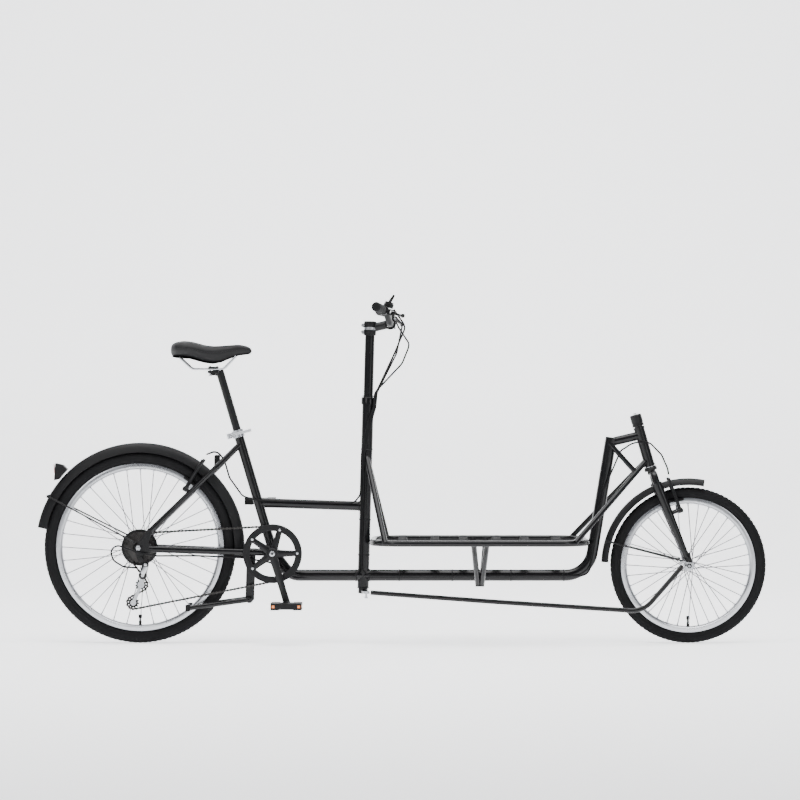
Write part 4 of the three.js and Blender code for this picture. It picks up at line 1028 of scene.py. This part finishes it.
def section(x, half, low, high):
    """The cover's outline at a station: flat-crowned on top and drawn in below."""
    middle, tall = (low + high) / 2 + (high - low) * 0.12, (high - low) / 2
    ring = []
    for k in range(SECTION):
        a = 2 * math.pi * k / SECTION
        c, t = math.cos(a), math.sin(a)
        y = half * math.copysign(abs(c) ** 0.72, c)
        z = math.copysign(abs(t) ** (0.75 if t > 0 else 0.9), t)
        pinch = 1 - 0.35 * max(0, -t)
        ring.append(at(x, middle + z * tall * (0.88 if t > 0 else 1.12), y * pinch))
    return ring


def saddle():
    shape = Shape().rings([section(*station) for station in STATIONS])
    cover = shape.make("saddle_cover", None, None, material=MATS["saddle_cover"])
    remesh = cover.modifiers.new("even", "REMESH")
    remesh.mode = "VOXEL"
    remesh.voxel_size = VOXEL * MM
    cover.modifiers.new("soft", "SMOOTH").iterations = 6
    apply(cover)
    puff(cover, PRESSURE, MOST_SWELL * MM)
    cover.modifiers.new("fine", "SUBSURF").levels = 1
    apply(cover)
    cover.data.shade_smooth()
    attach(cover, "seat_post")
    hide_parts("saddle")
    built.add("saddle")
    seams(cover)
    base, rings = Shape(), []
    corners = ((-1, 1), (-1, 0), (1, 0), (1, 1))
    for station in STATIONS[1:-1]:
        x, half, low = station[:3]
        rings.append([at(x, low + 1.5 + 2 * t, y * half * 0.6) for y, t in corners])
    base.rings(rings)
    base.make("saddle_base", "seat_post", "black_plastic")


def seams(cover):
    """A fine piped line along each side of the cover, laid on its surface."""
    corners = [v.co.copy() for v in cover.data.vertices]
    tree = BVHTree.FromPolygons(corners, [p.vertices[:] for p in cover.data.polygons])
    for tag, side in SIDES.items():
        line = []
        for k in range(SEAM_POINTS + 1):
            x = SEAM_FROM + (SEAM_TO - SEAM_FROM) * k / SEAM_POINTS
            low, high, half = (along_stations(x, i) for i in (2, 3, 1))
            rise = 0.52 + 0.2 * math.sin(math.pi * k / SEAM_POINTS)
            probe = to_row(at(x, low + (high - low) * rise, (half + 20) * side))
            hit = tree.find_nearest(probe)[0]
            line.append(Vector(((hit.x - REAR_X) / MM, hit.y / MM, hit.z / MM)))
        Shape().tube(line, 0.75, 8).make("saddle_seam_" + tag, "seat_post", "saddle_cover")


def along_stations(x, i):
    """Value i of the stations at a place between two of them."""
    for a, b in zip(STATIONS, STATIONS[1:]):
        if a[0] <= x <= b[0]:
            t = (x - a[0]) / (b[0] - a[0])
            return a[i] + (b[i] - a[i]) * t
    return STATIONS[-1][i]


def apply(o):
    """Makes the result of the modifiers the mesh itself."""
    bpy.context.view_layer.update()
    held = o.evaluated_get(bpy.context.evaluated_depsgraph_get())
    data = bpy.data.meshes.new_from_object(held)
    o.modifiers.clear()
    o.data = data


def puff(o, pressure, most):
    """Inflates the cover a little, as foam fills it, and caps how far any point moves."""
    rest = [v.co.copy() for v in o.data.vertices]
    scene = bpy.context.scene
    kept = scene.gravity.copy()
    scene.gravity = (0, 0, 0)
    cloth = o.modifiers.new("cloth", "CLOTH")
    cloth.settings.use_pressure = True
    cloth.settings.uniform_pressure_force = pressure
    cloth.settings.quality = 5
    cloth.settings.mass = 0.3
    cloth.point_cache.frame_start = 1
    cloth.point_cache.frame_end = CLOTH_FRAMES
    for f in range(1, CLOTH_FRAMES + 1):
        scene.frame_set(f)
    apply(o)
    scene.frame_set(1)
    scene.gravity = kept
    for v, r in zip(o.data.vertices, rest):
        move = v.co - r
        if move.length > most:
            v.co = r + move.normalized() * most


POST = 13.6  # radius of the seat post
SADDLE_RAIL = (at(134, 972.5, 30), at(178, 932, 24), at(284, 932, 22), at(326, 976, 9))
CLAMP_X = 250
STAND_FOOT = at(172, 122, 52)
ROD = 8  # radius of the tie rod and of the stand's legs


def seat():
    s = Shape()
    head, foot = seat_at(927), seat_at(560)
    s.turn(foot, SEAT_UP, [(12, 0), (POST, 1), (POST, (head - foot).length)], 40)
    s.make("seat_post_tube", "seat_post", "black_alloy", ["seat_post"])
    rails = Shape()
    for side in (-1, 1):
        rails.tube(rounded([flip(p, side) for p in SADDLE_RAIL], 26, 5), 3.5, 18)
    rails.make("saddle_rails", "seat_post", "silver_alloy")
    clamp = Shape()
    clamp.block(at(CLAMP_X, 922), (38, 52, 9))
    clamp.block(at(CLAMP_X, 936.5), (34, 56, 7))
    clamp.make("saddle_clamp", "seat_post", "black_alloy", bevel=2)
    neck = Shape().rod(head - SEAT_UP * 12, at(CLAMP_X - 2, 924), 11)
    neck.rod(at(CLAMP_X, 919, -24), at(CLAMP_X, 919, 24), 9)
    neck.make("saddle_clamp_neck", "seat_post", "black_alloy")
    bolts = Shape()
    for x in (CLAMP_X - 12, CLAMP_X + 12):
        bolts.rod(at(x, 912), at(x, 943), 3)
        bolts.turn(at(x, 908), at(0, 1), [(5, 0), (5.6, 1), (5.6, 5)], 6)
    bolts.make("saddle_clamp_bolts", "seat_post", "silver_alloy")


def stand():
    s = Shape()
    pivot = place("kickstand_swing")
    s.rod(at(pivot.x, pivot.z, -46), at(pivot.x, pivot.z, 46), ROD)
    feet = Shape()
    for side in (-1, 1):
        corners = [at(pivot.x, pivot.z, 20 * side), at(pivot.x, pivot.z, 44 * side), flip(STAND_FOOT, side)]
        s.tube(rounded(corners, 14, 6), ROD, 28)
        feet.block(flip(STAND_FOOT - at(6, 0), side), (16, 18, 22))
    s.make("stand_legs", "kickstand", PAINT, ["kickstand"])
    feet.make("stand_feet", "kickstand", "rubber", bevel=2.4)


def tie_rod():
    pin = place("tie_rod_turn")
    rear = at(column_at(ARM_Z).x + ARM_AHEAD + 16, ARM_Z - 0.7, ARM_Y)
    s = Shape().tube(rounded([rear, at(1180, 150, -140), at(1704, 116, -140), pin], 90, 3), ROD, 30)
    s.make("tie_rod_tube", "tie_rod", PAINT, ["tie_rod"])
    ring = [(5, 0), (9, 0), (10, 1), (10, 13.4), (9, 14.4), (5, 14.4)]
    eye = Shape().turn(pin - HEAD_UP * 7.2, HEAD_UP, ring, 32, closed=True)
    eye.make("tie_rod_eye", "tie_rod", "silver_alloy", sharp=30)


def reflectors():
    for tag, side in SIDES.items():
        p = place(f"pedal_{tag}_spin")
        s = Shape()
        for end in (-1, 1):
            s.block(at(p.x + 52.3 * end, p.z, 129 * side), (1.2, 40, 10))
            s.block(at(p.x + 43 * end, p.z, 172.4 * side), (9, 1.2, 9))
        s.make("pedal_reflectors_" + tag, "pedal_" + tag, None, bevel=0.4, material=AMBER)
    back = Shape()
    back.block(at(-290.5, 583), (1.6, 38, 52), Quaternion(ACROSS, math.radians(-5)))
    back.make("rear_reflector_lens", "frame", None, bevel=0.4, material=RED)
    disc = Shape()
    guard = [(29, 0), (60, 0.4), (62, 1.2), (60, 1.6), (29, 1.6)]
    disc.turn(REAR - ACROSS * 27.6, ACROSS, guard, 72, closed=True)
    disc.make("spoke_protector", "rear_wheel", "black_plastic")


def nut(s, origin, length):
    """A hexagonal axle nut with chamfered ends."""
    s.turn(origin, ACROSS, [(8.2, 0), (9, 0.8), (9, length), (8.2, length + 0.6)], 6)


KNUCKLE = at(24, 270)  # where the derailleur hangs from the dropout
SCREW_HEAD = [(4, 0), (5.4, 0.7), (5.4, 3)]


def hardware():
    s = Shape()
    nut(s, REAR - ACROSS * 82.5, 7)
    s.turn(REAR - ACROSS * 86.5, ACROSS, [(4, 0), (5, 0.6), (5, 6)], 24)
    nut(s, REAR + ACROSS * 71, 7)
    s.make("rear_axle_nuts", "frame", "silver_alloy", bevel=0.4)
    front = Shape()
    nut(front, FRONT - ACROSS * 70.5, 6)
    front.make("front_axle_nut", "fork", "black_alloy", bevel=0.4)
    ring = Shape().turn(column_at(1065.5), COLUMN_UP, [(21.2, 0), (21.9, 0.6), (21.9, 8), (21.2, 8.6)], 48)
    ring.make("stem_spacer", "handlebar", "silver_alloy", sharp=30)
    pivot = place("cage_swing")
    knuckle = Shape()
    knuckle.turn(at(pivot.x, pivot.z, -67), ACROSS, [(9, 0), (13.4, 1.4), (14, 4), (14, 18), (12, 22)], 36)
    knuckle.turn(KNUCKLE - ACROSS * 72, ACROSS, [(7, 0), (10.4, 1.2), (10.8, 14), (9, 17)], 36)
    path = [KNUCKLE - ACROSS * 62, at(20, 252, -64), at(15, 234, -60)]
    knuckle.sweep(path, circle(6, 11, 24), up=ACROSS)
    knuckle.make("derailleur_knuckles", "derailleur_body", "black_alloy")
    plate = Shape()
    plate.sweep([at(26, 264, -70), at(20, 250, -70.5), at(12, 238, -68.5)], circle(1.6, 8, 20), up=ACROSS)
    plate.turn(KNUCKLE - ACROSS * 74, ACROSS, SCREW_HEAD, 24)
    plate.turn(at(pivot.x, pivot.z, -69), ACROSS, SCREW_HEAD, 24)
    plate.make("derailleur_link", "derailleur_body", "silver_alloy")


hardware()
steering()
fork()
fenders()
chain()
drive()
cables()
seat()
stand()
tie_rod()
saddle()
reflectors()

for node in sorted(frame["nodes"]):
    if node not in built:
        polish(node)


# ---- stage ----
FLOOR_NEAR, FLOOR_FAR = -14000, 2100
FLOOR_SIDES = (-9000, 11000)
COVE, COVE_STEPS = 900, 16  # radius of the bend from floor to wall
WALL_TOP = 5200
GLOW = 1.15  # the paper's own light, which evens out the background


def studio():
    """A pale paper sweep: floor, cove and back wall."""
    bend = [math.pi / 2 * k / COVE_STEPS for k in range(1, COVE_STEPS + 1)]
    deep = [(FLOOR_NEAR, 0), (FLOOR_FAR, 0)]
    deep += [(FLOOR_FAR + COVE * math.sin(a), COVE - COVE * math.cos(a)) for a in bend]
    deep += [(FLOOR_FAR + COVE, WALL_TOP)]
    n = len(deep)
    s = Shape()
    s.verts = [Vector((x, y, z)) for x in FLOOR_SIDES for y, z in deep]
    s.faces = [(k, k + 1, n + k + 1, n + k) for k in range(n - 1)]
    paper = shader("paper", (0.9, 0.9, 0.905), 0.85, gloss=0.1, grain=0.05, size=60)
    surface = paper.node_tree.nodes["Principled BSDF"]
    surface.inputs["Emission Color"].default_value = (0.97, 0.98, 1.0, 1)
    surface.inputs["Emission Strength"].default_value = GLOW
    floor = s.make("backdrop", None, None, material=paper)


def light(name, where, aim, size, power):
    """A soft box; places and sizes in metres, power in watts."""
    data = bpy.data.lights.new(name, "AREA")
    data.shape = "RECTANGLE"
    data.size, data.size_y = size
    data.energy = power
    o = bpy.data.objects.new(name, data)
    o.location = where
    o.rotation_euler = (Vector(aim) - Vector(where)).to_track_quat("-Z", "Y").to_euler()
    bpy.context.scene.collection.objects.link(o)


studio()
light("over", (0, -0.8, 4.2), (0, 0, 0.3), (5.5, 3.0), 360)
light("key", (-3.2, -4.6, 3.0), (0, 0, 0.5), (0.7, 2.6), 70)
light("fill", (3.6, -4.2, 2.0), (0.3, 0, 0.5), (0.6, 2.6), 45)

ROOM_TINT, ROOM_LIGHT = (0.93, 0.95, 1.0, 1), 0.22
world = bpy.data.worlds.new("room")
world.use_nodes = True
room = world.node_tree.nodes["Background"]
room.inputs["Color"].default_value = ROOM_TINT
room.inputs["Strength"].default_value = ROOM_LIGHT
bpy.context.scene.world = world

CAMERA = (0.143, -11.2, 0.858)
LENS, SENSOR = 148, 36
SHIFT = (-0.055, -0.0115)
lens = bpy.data.cameras.new("camera")
lens.sensor_width = SENSOR
lens.lens = LENS
lens.shift_x, lens.shift_y = SHIFT
lens.clip_end = 60
view = bpy.data.objects.new("camera", lens)
view.location = CAMERA
view.rotation_euler = (math.radians(90), 0, 0)
bpy.context.scene.collection.objects.link(view)
bpy.context.scene.camera = view

bpy.context.view_layer.update()
